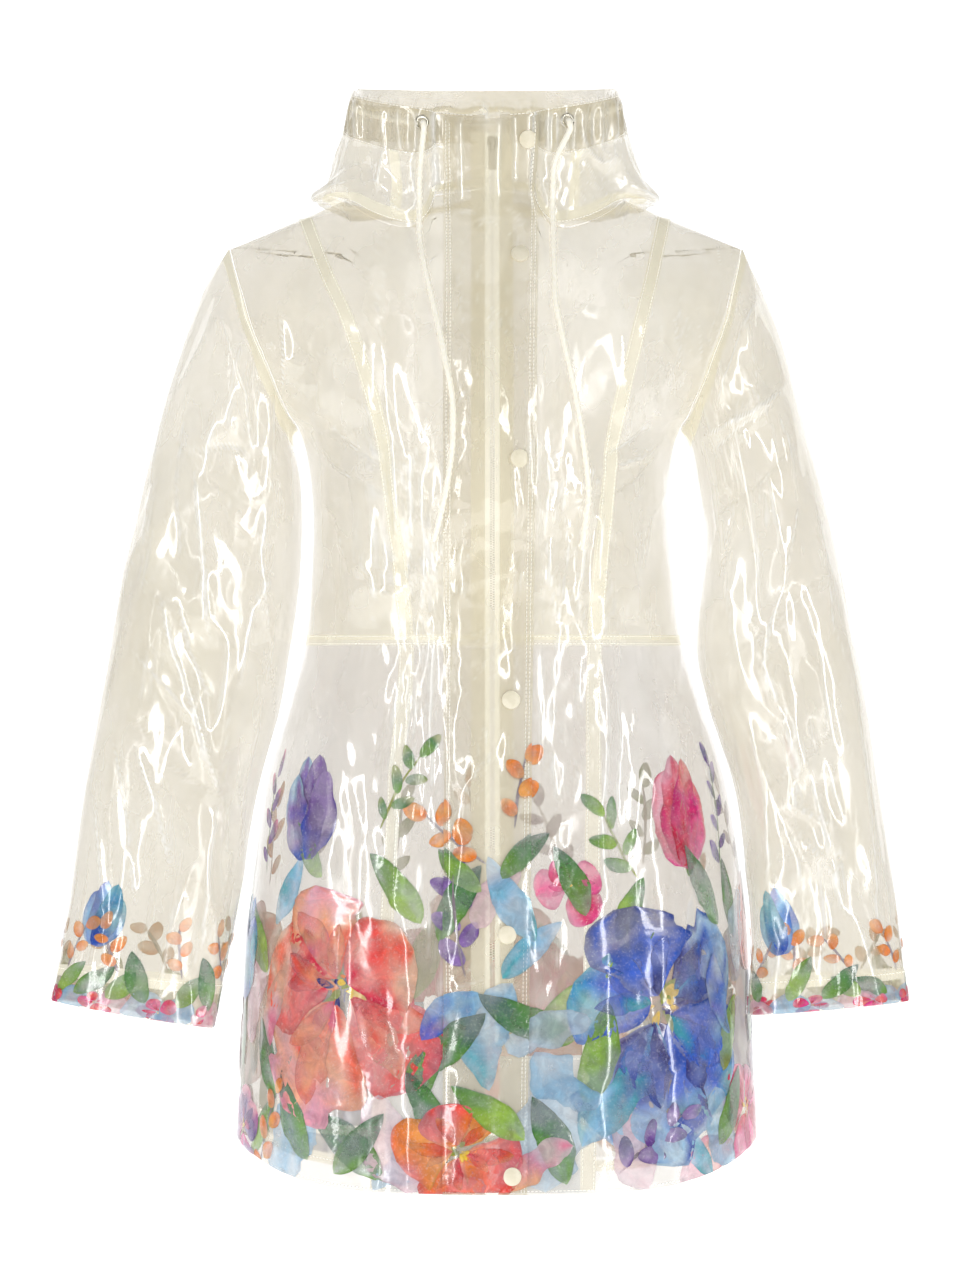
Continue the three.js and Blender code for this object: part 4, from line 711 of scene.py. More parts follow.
FLAP_COUNT = 350
flap_shares = np.linspace(0, 1, 34)
straight = rails([0.001], HEM - 3, RAIL_TOP, FLAP_COUNT)[:, 0]
flap_smooth = np.stack([
    rail(FLAP_RIGHT + (FLAP_LEFT_TOP - FLAP_RIGHT) * s, HEM - 3, RAIL_TOP, count=FLAP_COUNT)
    for s in flap_shares
], 1)
narrow = np.linspace(0, 1, FLAP_COUNT)[:, None]
wanted = flap_shares[None, :] * (flap_left(straight[:, 2])[:, None] - FLAP_RIGHT) / (FLAP_LEFT_TOP - FLAP_RIGHT)
column_at = wanted * (len(flap_shares) - 1)
low = np.clip(np.floor(column_at).astype(int), 0, len(flap_shares) - 2)
rows_at = np.arange(FLAP_COUNT)[:, None]
f = (column_at - low)[..., None]
flap_base = flap_smooth[rows_at, low] * (1 - f) + flap_smooth[rows_at, low + 1] * f
kernel = np.ones(9) / 9
flap_soft = np.stack([
    np.stack([np.convolve(np.pad(flap_base[:, i, k], 4, "edge"), kernel, "valid") for i in range(34)], 1)
    for k in range(3)
], -1)
flap_normal = grid_normals(flap_soft)
flap_share, flap_z = np.broadcast_arrays(flap_shares[None, :], flap_soft[..., 2])
flap_ripple = crumple(flap_share * 2.2, flap_z / 52, 71) * 2.2 + crumple(flap_share * 5, flap_z / 21, 74) * 0.8
flap_ripple = flap_ripple * smoothstep(flap_share, 0, 0.2) * (0.6 + 0.4 * (1 - flap_share))
flap_ripple = flap_ripple * (1 - 0.85 * at_pull(flap_z))
flap_points = flap_soft + flap_normal * (flap_lift(flap_share, flap_z) + flap_ripple)[..., None]
cloth_piece("storm_flap", flap_points)

# Materials: shared groups give the film's crinkle and its milky clouds. Constants sit on each
# shader's own sockets.


def node_group(name, outputs):
    group = bpy.data.node_groups.new(name, "ShaderNodeTree")
    for output, kind in outputs.items():
        group.interface.new_socket(output, in_out="OUTPUT", socket_type=kind)
    return group, group.nodes.new("NodeGroupOutput")


def add_node(tree, kind, **inputs):
    made = tree.nodes.new(kind)
    for key, value in inputs.items():
        made.inputs[key.replace("_", " ")].default_value = value
    return made


def math_node(tree, operation, a, b):
    made = tree.nodes.new("ShaderNodeMath")
    made.operation = operation
    for socket, value in zip(made.inputs, (a, b)):
        if isinstance(value, (int, float)):
            socket.default_value = value
        else:
            tree.links.new(value, socket)
    return made.outputs[0]


def mapped(tree, source, low, high, to_low, to_high):
    made = tree.nodes.new("ShaderNodeMapRange")
    made.interpolation_type = "SMOOTHSTEP"
    tree.links.new(source, made.inputs["Value"])
    for key, value in zip(("From Min", "From Max", "To Min", "To Max"), (low, high, to_low, to_high)):
        made.inputs[key].default_value = value
    return made.outputs[0]


def stretched(tree, x, y, z):
    place = tree.nodes.new("ShaderNodeTexCoord")
    scale = tree.nodes.new("ShaderNodeMapping")
    scale.inputs["Scale"].default_value = (x, y, z)
    tree.links.new(place.outputs["Object"], scale.inputs["Vector"])
    return scale.outputs[0]


def noise_node(tree, vector, scale, detail=4.0, roughness=0.55, distortion=0.0):
    made = add_node(tree, "ShaderNodeTexNoise", Scale=scale, Detail=detail, Roughness=roughness, Distortion=distortion)
    tree.links.new(vector, made.inputs["Vector"])
    return made.outputs["Fac"]


crinkle, crinkle_out = node_group("film_crinkle", {"Height": "NodeSocketFloat", "Cloud": "NodeSocketFloat"})
swell = noise_node(crinkle, stretched(crinkle, 1, 1, 0.4), 13, 1, 0.4, 0.6)
facets = crinkle.nodes.new("ShaderNodeTexVoronoi")
facets.inputs["Scale"].default_value = 44
crinkle.links.new(stretched(crinkle, 1, 1, 0.3), facets.inputs["Vector"])
patches = mapped(crinkle, noise_node(crinkle, stretched(crinkle, 1, 1, 0.5), 12, 2, 0.5), 0.47, 0.64, 0, 1)
shards = math_node(crinkle, "MULTIPLY", facets.outputs["Distance"], patches)
stipple = noise_node(crinkle, stretched(crinkle, 1, 1, 1), 640, 1, 0.5)
height = math_node(crinkle, "ADD", math_node(crinkle, "MULTIPLY", swell, 1.5), math_node(crinkle, "MULTIPLY", shards, 0.55))
height = math_node(crinkle, "ADD", height, math_node(crinkle, "MULTIPLY", stipple, 0.012))
crinkle.links.new(height, crinkle_out.inputs["Height"])
crinkle.links.new(mapped(crinkle, noise_node(crinkle, stretched(crinkle, 1, 1, 0.6), 7, 4, 0.6), 0.34, 0.66, 0, 1), crinkle_out.inputs["Cloud"])


def material(name, metallic=0.0, roughness=0.5, color=(0.8, 0.8, 0.8), ior=1.5):
    made = bpy.data.materials.new(name)
    made.use_nodes = True
    shader = made.node_tree.nodes["Principled BSDF"]
    shader.inputs["Base Color"].default_value = (*color, 1)
    shader.inputs["Metallic"].default_value = metallic
    shader.inputs["Roughness"].default_value = roughness
    shader.inputs["IOR"].default_value = ior
    return made, made.node_tree, shader


def mix_color(tree, factor, first, second):
    made = tree.nodes.new("ShaderNodeMix")
    made.data_type = "RGBA"
    tree.links.new(factor, made.inputs["Factor"])
    for socket, value in ((made.inputs["A"], first), (made.inputs["B"], second)):
        if isinstance(value, tuple):
            socket.default_value = (*value, 1)
        else:
            tree.links.new(value, socket)
    return made.outputs["Result"]


def bump(tree, shader, height, strength, distance):
    made = add_node(tree, "ShaderNodeBump", Strength=strength, Distance=distance)
    tree.links.new(height, made.inputs["Height"])
    tree.links.new(made.outputs["Normal"], shader.inputs["Normal"])


def use_group(tree, group):
    made = tree.nodes.new("ShaderNodeGroup")
    made.node_tree = group
    return made


# The third colour is the white of the painted highlight at sharp bends.
FILM_CREAM, FILM_MILK, FILM_HIGHLIGHT_WHITE = (0.65, 0.565, 0.37), (0.76, 0.685, 0.49), (0.96, 0.95, 0.89)
SMOKY_CREAM, SMOKY_MILK = (0.53, 0.46, 0.355), (0.65, 0.58, 0.47)


def film_material(name, cream, milk, clear, milky):
    made, tree, shader = material(name, roughness=0.12, ior=1.6)
    shader.inputs["Specular IOR Level"].default_value = 1
    shader.inputs["Coat Weight"].default_value = 1
    shader.inputs["Coat Roughness"].default_value = 0.05
    shader.inputs["Coat IOR"].default_value = 1.7
    group = use_group(tree, crinkle)
    crease_highlight = tree.nodes.new("ShaderNodeAttribute")
    crease_highlight.attribute_name = "CreaseHighlight"
    tint = mix_color(tree, group.outputs["Cloud"], cream, milk)
    # Sharp bends turn the film whiter and more opaque: a painted highlight along the creases.
    tree.links.new(mix_color(tree, crease_highlight.outputs["Fac"], tint, FILM_HIGHLIGHT_WHITE), shader.inputs["Base Color"])
    cloudy = mapped(tree, group.outputs["Cloud"], 0, 1, clear, milky)
    painted_highlight_alpha = math_node(tree, "MULTIPLY", crease_highlight.outputs["Fac"], 0.24)
    tree.links.new(math_node(tree, "ADD", cloudy, painted_highlight_alpha), shader.inputs["Alpha"])
    tree.links.new(mapped(tree, group.outputs["Cloud"], 0, 1, 0.08, 0.2), shader.inputs["Roughness"])
    bump(tree, shader, group.outputs["Height"], 0.3, 0.006)
    return made


film_materials = {
    "film": film_material("film", FILM_CREAM, FILM_MILK, 0.38, 0.52),
    "print": film_material("film_print", SMOKY_CREAM, SMOKY_MILK, 0.36, 0.5),
}
for piece, slot in cloth:
    piece.data.materials.append(film_materials[slot])

# Print: a border of watercolour flowers, leaves and berries, laid on the film as thin strokes of
# paint. A stroke runs from a base to a tip with a swelling width; its rim is darker, as where paint
# pools and dries. Places are millimetres round the body from the middle front, and levels.
BODY_SPREAD, SLEEVE_SPREAD, SLEEVE_ROW_LENGTH = 200, 60, 54
RIM_SHARES = np.array([-1, -0.93, -0.8, -0.55, -0.2, 0.2, 0.55, 0.8, 0.93, 1])
STROKE_STEPS = 21


def pigment(*rgb):
    return (np.array(rgb) / 255) ** 2.2


COBALT, ROYAL, SKY, AQUA, INDIGO = (pigment(*c) for c in ((38, 84, 190), (58, 104, 220), (140, 196, 232), (70, 176, 188), (48, 48, 122)))
CRIMSON, MAGENTA, PINK, CORAL, PEACH = (pigment(*c) for c in ((226, 38, 74), (240, 40, 142), (250, 128, 164), (250, 84, 66), (252, 176, 132)))
ORANGE, APRICOT, YELLOW, OLIVE, LIME = (pigment(*c) for c in ((248, 132, 46), (250, 172, 92), (246, 202, 62), (146, 156, 56), (158, 196, 76)))
LEAF, GREEN, PINE, VIOLET, PLUM = (pigment(*c) for c in ((112, 162, 62), (66, 128, 70), (48, 92, 70), (148, 112, 186), (104, 62, 146)))
TWIG, BLUSH, MIST = (pigment(*c) for c in ((142, 126, 136), (246, 204, 216), (196, 222, 240)))


class Painting:
    """Strokes collected as arrays of places, colours and how dense the paint is."""

    def __init__(self, seed):
        self.random = np.random.default_rng(seed)
        self.places, self.colors, self.washes = [], [], []

    def stroke(self, base, tip, width, colors, swell=1.0, blunt=0.6, bend=0.0, wash=0.86, ragged=0.1):
        base, tip = np.array(base, float), np.array(tip, float)
        t = np.linspace(0, 1, STROKE_STEPS)[:, None]
        q = RIM_SHARES[None, :]
        run = tip - base
        length = np.hypot(*run)
        across = np.array([-run[1], run[0]]) / max(length, 1e-6)
        middle = (base + tip) / 2 + across * bend * length
        line = (1 - t) ** 2 * base + 2 * t * (1 - t) * middle + t**2 * tip
        slope = 2 * (1 - t) * (middle - base) + 2 * t * (tip - middle)
        slope /= np.hypot(slope[:, :1], slope[:, 1:])
        normal = np.stack([-slope[:, 1], slope[:, 0]], -1)
        half = width / 2 * np.sin(math.pi * t**swell) ** blunt
        key = int(self.random.integers(0, 1 << 30))
        shift = self.random.uniform(0, 40)
        edge = 1 + ragged * 1.6 * noise(t * length / 16 + shift, np.sign(q) * 3.3 + shift + 0 * t, key)
        edge = edge + ragged * 0.5 * noise(t * length / 5 + shift, np.sign(q) * 7.7 + shift + 0 * t, key + 1)
        self.places.append(line[:, None, :] + normal[:, None, :] * (half * q * edge)[..., None])
        flow = noise(t * length / 18 + shift, q * width / 26 + shift, key + 2)
        blot = noise(t * length / 9 + shift, q * width / 11 + shift, key + 3)
        at = np.clip(t + 0.42 * flow + 0.16 * blot + 0 * q, 0, 1) * (len(colors) - 1)
        k = np.minimum(at.astype(int), max(len(colors) - 2, 0))
        table = np.array(colors)
        nearer = table[k]
        further = table[np.minimum(k + 1, len(colors) - 1)]
        color = nearer + (further - nearer) * (at - k)[..., None]
        rim = smoothstep(np.abs(q), 0.78, 1.0) + smoothstep(t, 0.9, 1) * 0.6 + 0 * q
        pale = np.clip(0.5 + flow + 0.6 * blot, 0, 1)
        color = color * (1 - 0.3 * np.clip(rim, 0, 1))[..., None]
        color = color + (1 - color) * (0.2 * pale)[..., None]
        self.colors.append(color)
        self.washes.append(np.clip(wash - 0.2 * pale + 0.12 * np.clip(rim, 0, 1) + 0.02, 0, 0.98) + 0 * t)

    def leaf(self, s, z, length, angle, width=None, colors=(LIME, LEAF, GREEN), **options):
        tip = (s + length * math.sin(angle), z + length * math.cos(angle))
        self.stroke((s, z), tip, width or length * 0.34, colors, 0.85, 0.75, self.random.uniform(-0.12, 0.12), **options)

    def bloom(self, s, z, size, petals, heart, facing=0.0, count=5):
        turn = self.random.uniform(0, 6.28)
        for k in range(count):
            angle = turn + 6.283 * k / count + self.random.uniform(-0.22, 0.22)
            reach = size * self.random.uniform(0.43, 0.56) * (1 - 0.22 * math.cos(angle - facing))
            tip = (s + reach * math.sin(angle), z + reach * math.cos(angle))
            root = (s + 0.1 * reach * math.sin(angle), z + 0.1 * reach * math.cos(angle))
            palette = petals[k % len(petals)]
            self.stroke(root, tip, reach * self.random.uniform(0.8, 1.08), palette, 1.35, 0.5, self.random.uniform(-0.2, 0.2), 0.92, 0.16)
            for side in (-1, 1):
                lean_angle = angle + side * self.random.uniform(0.18, 0.36)
                far = reach * self.random.uniform(0.55, 0.9)
                tip = (s + far * math.sin(lean_angle), z + far * math.cos(lean_angle))
                self.stroke(root, tip, far * 0.3, palette[::-1], 1.1, 0.7, side * 0.12, 0.62, 0.22)
        for k in range(16):
            angle = self.random.uniform(0, 6.283)
            far = size * self.random.uniform(0.04, 0.13)
            start = size * self.random.uniform(0.0, 0.05)
            color = heart[k % len(heart)]
            self.stroke(
                (s + start * math.sin(angle), z + start * math.cos(angle)),
                (s + far * math.sin(angle), z + far * math.cos(angle)), size * 0.03, (color, color), 1, 0.7, 0.1, 0.95, 0.3,
            )

    def bud(self, s, z, length, angle, palettes):
        for k, spread in enumerate((-0.3, 0.32, -0.1, 0.12)):
            turn = angle + spread * 0.8
            reach = length * (0.86 if k < 2 else 1)
            tip = (s + reach * math.sin(turn), z + reach * math.cos(turn))
            self.stroke((s, z), tip, length * 0.42, palettes[k % len(palettes)], 0.9, 0.55, -spread * 0.5, 0.9, 0.12)

    def spray(self, s, z, length, angle, count, leaf_length, colors, stem=TWIG, round_leaf=0.5):
        """Leaves or berries in turn on both sides of a bent twig."""
        tip = (s + length * math.sin(angle), z + length * math.cos(angle))
        self.stroke((s, z), tip, 2.6, (stem, stem), 1, 0.3, 0.06, 0.8, 0.3)
        for k in range(count):
            share = (k + 0.8) / count
            at = (s + (tip[0] - s) * share, z + (tip[1] - z) * share)
            turn = angle + (0.85 if k % 2 else -0.85) * self.random.uniform(0.7, 1.2) * (1 - 0.6 * (share > 0.95))
            reach = leaf_length * self.random.uniform(0.8, 1.15)
            end = (at[0] + reach * math.sin(turn), at[1] + reach * math.cos(turn))
            self.stroke(at, end, reach * round_leaf, colors, 0.95, 0.55, self.random.uniform(-0.1, 0.1), 0.9, 0.14)

    def arrays(self):
        return np.array(self.places), np.array(self.colors), np.array(self.washes)


def paint_piece(name, painting, place_at, keep=None, lift=0.5):
    """The strokes on a surface, each a hair above the one before, without cells squeezed flat."""
    places, colors, washes = painting.arrays()
    count, steps, columns = washes.shape
    order = np.arange(count)[:, None, None]
    heights = lift + 0.11 * (order % 12) + np.zeros(washes.shape)
    points = place_at(places[..., 0], places[..., 1], heights)
    faces = grid_faces(steps, columns)
    corners = (order * steps * columns + faces[None]).reshape(-1, 4)
    flat = points.reshape(-1, 3)
    area = np.linalg.norm(np.cross(flat[corners[:, 2]] - flat[corners[:, 0]], flat[corners[:, 3]] - flat[corners[:, 1]]), axis=1)
    good = area > 0.02
    if keep is not None:
        good &= keep(places.reshape(-1, 2)[corners])
    corners = corners[good]
    used, renumbered = np.unique(corners, return_inverse=True)
    tints = np.concatenate([colors, np.ones((*washes.shape, 1))], -1).reshape(-1, 4)[used]
    piece = mesh_object(name, flat[used], renumbered.reshape(-1, 4), {"Paint": tints, "Wash": washes.ravel()[used]})
    piece.data.materials.append(paint_material)
    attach(piece, "coat")
    return piece


def body_place(s, z, height):
    """Round the body by the section's angle; levels under the hem are drawn up to it."""
    angle = s / BODY_SPREAD
    z = np.maximum(z, hem_level(angle) + 0.6)
    side = np.where(np.cos(angle) > 0, FRONT, BACK)
    return body_point(side, column(BODY, "half_width", z) * np.sin(angle), z, height)


def beside_zip(corners):
    """Cells that aren't over the open strip between the two fronts."""
    x = column(BODY, "half_width", corners[..., 1]) * np.sin(corners[..., 0] / BODY_SPREAD) + lean(corners[..., 1])
    return ~np.all(np.abs(x - ZIP_X) < ZIP_HALF_GAP + 1, axis=1)


def flap_at(from_zip, z):
    """Points and normals of the storm flap, between its own rows and columns."""
    share = np.clip((from_zip - FLAP_RIGHT) / (flap_left(z) - FLAP_RIGHT), 0, 1)
    row = np.interp(z, straight[:, 2], np.arange(FLAP_COUNT))
    at = share * (len(flap_shares) - 1)
    i, j = np.minimum(at.astype(int), 32), np.minimum(row.astype(int), FLAP_COUNT - 2)
    fi, fj = (at - i)[..., None], (row - j)[..., None]

    def between(grid):
        low = grid[j, i] * (1 - fi) + grid[j, i + 1] * fi
        return low * (1 - fj) + (grid[j + 1, i] * (1 - fi) + grid[j + 1, i + 1] * fi) * fj

    return between(flap_points), between(flap_normal)


def flap_place(s, z, height):
    """On the storm flap; strokes are cut off at its edges."""
    z = np.maximum(z, HEM + 1)
    from_zip = column(BODY, "half_width", z) * np.sin(s / BODY_SPREAD) + lean(z) - ZIP_X
    point, normal = flap_at(from_zip, z)
    return point + normal * height[..., None]


def cuff_place(name):
    def place(s, up, height):
        up = np.maximum(up, 0.5)
        return sleeve_point(name, s / SLEEVE_SPREAD, 10 - up / SLEEVE_ROW_LENGTH, height)

    return place


paint_material, tree, shader = material("paint", roughness=0.16)
shader.inputs["Coat Weight"].default_value = 1
shader.inputs["Coat Roughness"].default_value = 0.06
paint = tree.nodes.new("ShaderNodeAttribute")
paint.attribute_name = "Paint"
wash = tree.nodes.new("ShaderNodeAttribute")
wash.attribute_name = "Wash"
grain = noise_node(tree, stretched(tree, 1, 1, 1), 420, 4, 0.7)
pool = noise_node(tree, stretched(tree, 1, 1, 1), 70, 4, 0.6, 1.0)
darker = tree.nodes.new("ShaderNodeMix")
darker.data_type = "RGBA"
darker.blend_type = "MULTIPLY"
darker.inputs["Factor"].default_value = 1
tree.links.new(paint.outputs["Color"], darker.inputs["A"])
tree.links.new(mix_color(tree, mapped(tree, pool, 0.3, 0.7, 0, 1), (0.74, 0.74, 0.78), (1.0, 1.0, 1.0)), darker.inputs["B"])
tree.links.new(mix_color(tree, mapped(tree, grain, 0.5, 0.8, 0, 0.3), darker.outputs["Result"], (1.0, 1.0, 1.0)), shader.inputs["Base Color"])
tree.links.new(math_node(tree, "MULTIPLY", wash.outputs["Fac"], mapped(tree, pool, 0.25, 0.7, 0.86, 1.04)), shader.inputs["Alpha"])
group = use_group(tree, crinkle)
bump(tree, shader, group.outputs["Height"], 0.3, 0.004)

front_print = Painting(7)
draw = front_print
for s, z, length, angle, color in (
    (-292, -806, 70, 0.1, MIST), (-190, -812, 90, 0.5, SKY), (-60, -812, 84, -0.4, BLUSH), (36, -812, 96, 0.3, MIST),
    (120, -812, 70, -0.2, BLUSH), (232, -806, 84, -0.5, SKY), (300, -790, 96, 0.0, BLUSH), (-250, -700, 80, 0.3, BLUSH),
    (8, -700, 70, 1.2, MIST), (80, -740, 66, -0.9, SKY), (-16, -600, 60, 0.6, BLUSH), (250, -640, 70, 0.3, MIST),
):
    draw.stroke((s, z), (s + length * math.sin(angle), z + length * math.cos(angle)), length * 0.5, (color, color * 0.9 + 0.1), 1, 0.5, 0.2, 0.62, 0.3)
for s, z, length, angle in (
    (-196, -742, 74, -0.5), (-70, -716, 78, 0.9), (-88, -804, 82, -0.9), (-40, -770, 62, -0.5), (32, -690, 66, 0.7),
    (52, -806, 76, -0.35), (66, -740, 84, 0.25), (196, -780, 76, 0.6), (206, -720, 70, 0.5), (-222, -640, 66, -0.6),
    (-150, -560, 58, -0.7), (70, -590, 62, -0.4), (96, -610, 58, 0.5), (172, -560, 62, 0.3), (244, -610, 66, -0.2),
    (-12, -570, 50, -0.8), (4, -560, 54, 0.8), (-274, -720, 66, -0.2), (280, -700, 66, 0.3), (-130, -800, 66, 0.7),
):
    draw.leaf(s, z, length, angle, length * 0.36, ((LIME, LEAF, GREEN), (LEAF, GREEN, PINE), (OLIVE, LEAF, LIME))[int(abs(s)) % 3])
draw.bloom(-128, -650, 196, ((CORAL, PEACH, PINK), (CRIMSON, CORAL, PEACH), (PEACH, CORAL, CRIMSON)), (YELLOW, OLIVE, ORANGE, INDIGO), 0.6)
draw.bloom(134, -664, 204, ((INDIGO, COBALT, SKY), (COBALT, ROYAL, AQUA), (ROYAL, COBALT, INDIGO)), (YELLOW, OLIVE, YELLOW, INDIGO), -0.5)
draw.bud(-172, -546, 86, -0.12, ((COBALT, VIOLET, SKY), (ROYAL, PLUM, VIOLET)))
draw.bud(164, -552, 92, 0.16, ((MAGENTA, CRIMSON, PINK), (CRIMSON, MAGENTA, CORAL)))
draw.bud(286, -640, 84, 0.1, ((ORANGE, CORAL, APRICOT), (CORAL, ORANGE, CRIMSON)))
draw.bud(-288, -664, 88, 0.15, ((AQUA, COBALT, SKY), (COBALT, AQUA, ROYAL)))
draw.bloom(-28, -778, 92, ((ORANGE, CORAL, CRIMSON), (APRICOT, ORANGE, CORAL)), (YELLOW, OLIVE), 0.2)
draw.bloom(58, -566, 56, ((MAGENTA, PINK), (CRIMSON, MAGENTA)), (YELLOW, CRIMSON), 0.2, 4)
draw.bloom(250, -752, 96, ((MAGENTA, CRIMSON, PINK), (CRIMSON, MAGENTA, PINK)), (YELLOW, ORANGE), 0.0)
draw.bloom(-262, -770, 84, ((VIOLET, PLUM, PINK), (MAGENTA, VIOLET, PINK)), (YELLOW, OLIVE), 0.0)
draw.spray(-24, -640, 84, -0.12, 6, 26, (VIOLET, PLUM, VIOLET), TWIG, 0.55)
draw.spray(-8, -548, 66, -0.9, 5, 20, (ORANGE, APRICOT, ORANGE), TWIG, 0.66)
draw.spray(-226, -812, 84, 0.4, 6, 18, (APRICOT, ORANGE, ORANGE), TWIG, 0.7)
draw.spray(14, -520, 60, 0.2, 4, 20, (APRICOT, ORANGE, APRICOT), TWIG, 0.66)
draw.spray(92, -800, 76, 0.9, 6, 24, (PLUM, VIOLET, INDIGO), TWIG, 0.5)
draw.spray(226, -560, 92, 0.1, 7, 22, (PLUM, INDIGO, VIOLET), GREEN, 0.45)
draw.spray(-238, -560, 84, -0.1, 6, 22, (VIOLET, PLUM, PINK), GREEN, 0.45)
draw.spray(-100, -520, 70, 0.5, 6, 24, (LEAF, GREEN, OLIVE), OLIVE, 0.42)
draw.spray(118, -560, 60, -0.5, 5, 26, (LIME, LEAF, GREEN), OLIVE, 0.42)
for s, z, length, angle, tone in (
    (-60, -596, 74, -0.7, 0), (-46, -610, 70, 0.5, 1), (30, -610, 78, -0.5, 2), (20, -770, 70, -0.9, 0), (60, -690, 84, -1.1, 1),
    (-210, -600, 70, 0.5, 2), (214, -600, 80, -0.6, 1), (-300, -600, 70, 0.1, 0), (300, -600, 74, -0.1, 1), (4, -640, 66, 0.8, 2),
    (-64, -744, 62, 0.3, 1), (188, -806, 70, -0.8, 2), (-240, -790, 66, 0.7, 0), (84, -640, 60, 0.9, 0), (-156, -790, 78, -0.4, 1),
):
    draw.leaf(s, z, length, angle, length * 0.33, ((LIME, LEAF, GREEN), (LEAF, GREEN, PINE), (AQUA, SKY, MIST))[tone])
for s, z, length, angle, colors in (
    (64, -776, 92, 0.9, (SKY, AQUA, COBALT)), (-6, -730, 88, 0.2, (AQUA, SKY, MIST)), (-58, -690, 60, 1.0, (ROYAL, SKY, MIST)),
    (-210, -700, 66, 0.3, (PINK, BLUSH, PEACH)), (222, -690, 70, -0.3, (SKY, ROYAL, MIST)), (10, -812, 60, 0.9, (PEACH, PINK, BLUSH)),
    (-96, -812, 66, 1.1, (MIST, SKY, BLUSH)), (150, -812, 80, 1.2, (BLUSH, PINK, PEACH)),
):
    draw.stroke((s, z), (s + length * math.sin(angle), z + length * math.cos(angle)), length * 0.4, colors, 1.1, 0.6, 0.25, 0.72, 0.25)
paint_piece("print_front", front_print, body_place, beside_zip)
flap_print = Painting(7)
flap_print.places, flap_print.colors, flap_print.washes = [], [], []
for place, color, density in zip(front_print.places, front_print.colors, front_print.washes):
    if np.abs(place[..., 0]).min() < 60 or place[..., 0].min() * place[..., 0].max() < 0:
        flap_print.places.append(place)
        flap_print.colors.append(color)
        flap_print.washes.append(density)
paint_piece("print_flap", flap_print, flap_place)

back_print = Painting(23)
draw = back_print
random = np.random.default_rng(5)
for s in range(330, 930, 46):
    for level in (-800, -740, -676):
        shift, turn = random.uniform(-20, 20, 2)
        tone = ((LIME, LEAF, GREEN), (LEAF, GREEN, PINE), (SKY, MIST, AQUA), (BLUSH, PINK, BLUSH))[int(random.integers(0, 4))]
        draw.leaf(s + shift, level + turn, random.uniform(54, 84), random.uniform(-1, 1), None, tone)
for k, (s, z, size) in enumerate(((380, -660, 150), (506, -700, 190), (640, -640, 170), (760, -710, 190), (880, -650, 150))):
    palette = (((COBALT, ROYAL, SKY), (INDIGO, COBALT, AQUA)), ((CORAL, PEACH, PINK), (CRIMSON, CORAL, PEACH)), ((MAGENTA, PINK), (CRIMSON, MAGENTA, PINK)))[k % 3]
    draw.bloom(s, z, size, palette, (YELLOW, OLIVE, ORANGE, INDIGO))
for k, s in enumerate(range(350, 930, 74)):
    draw.spray(s, -560 - 14 * (k % 2), 70, 0.3 - 0.2 * (k % 3), 5, 22, ((VIOLET, PLUM), (ORANGE, APRICOT), (LEAF, GREEN))[k % 3])
paint_piece("print_back", back_print, body_place)

for name, seed in (("right", 41), ("left", 42)):
    cuff_print = Painting(seed)
    draw = cuff_print
    around = 2 * math.pi * SLEEVE_SPREAD
    blooms = ((MAGENTA, CRIMSON, PINK), (CRIMSON, CORAL, MAGENTA), (MAGENTA, PINK, CRIMSON))
    for k in range(13):
        s = around * (k + 0.5) / 13 + draw.random.uniform(-5, 5)
        draw.stroke((s - 16, 3), (s + 18, 12), 26, (MIST, SKY, BLUSH)[k % 3 : k % 3 + 1] * 2, 1, 0.5, 0.2, 0.6, 0.3)
        draw.leaf(s, 18, draw.random.uniform(30, 46), draw.random.uniform(-1.2, 1.2), 17, ((LIME, LEAF, GREEN), (LEAF, GREEN, PINE))[k % 2])
    for k in range(8):
        s = around * (k + 0.3) / 8 + draw.random.uniform(-6, 6)
        draw.bloom(s, 12, 30, (blooms[k % 3], blooms[(k + 1) % 3]), (YELLOW, CRIMSON), 0, 4)
        draw.spray(s + 14, 40, 42, draw.random.uniform(-0.7, 0.7), 4, 15, (ORANGE, APRICOT), TWIG, 0.66)
    tall = 0.9 if name == "right" else 2.2
    draw.bud(around * tall / 6.28, 62, 50, 0.2, ((ROYAL, SKY, COBALT), (COBALT, AQUA)))
    paint_piece(f"print_cuff_{name}", cuff_print, cuff_place(name))

# Tapes: white woven binding inside the seams, made on the same surfaces a little behind the film.
tape_material, tree, shader = material("tape", roughness=0.75, color=(0.93, 0.92, 0.87))
# The emission is painted light: the tape glows so that it reads bright behind the film instead of shaded.
shader.inputs["Emission Color"].default_value = (0.95, 0.93, 0.82, 1)
shader.inputs["Emission Strength"].default_value = 0.42
weave = add_node(tree, "ShaderNodeTexWave", Scale=900.0, Distortion=0.4)
tree.links.new(stretched(tree, 1, 0.2, 1), weave.inputs["Vector"])
bump(tree, shader, weave.outputs["Fac"], 0.35, 0.0004)
shade = noise_node(tree, stretched(tree, 1, 1, 1), 60, 3)
tree.links.new(mix_color(tree, shade, (0.86, 0.85, 0.77), (0.95, 0.945, 0.88)), shader.inputs["Base Color"])

TAPE_BEHIND, ARMHOLE_TAPE = -0.6, 13


def tape_piece(name, points, replaced, closed=False, behind=None):
    rows, columns = points.shape[:2]
    piece = mesh_object(name, points, grid_faces(rows, columns, closed))
    piece.data.materials.append(tape_material)
    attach(piece, "coat")
    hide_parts(*replaced)
    return piece


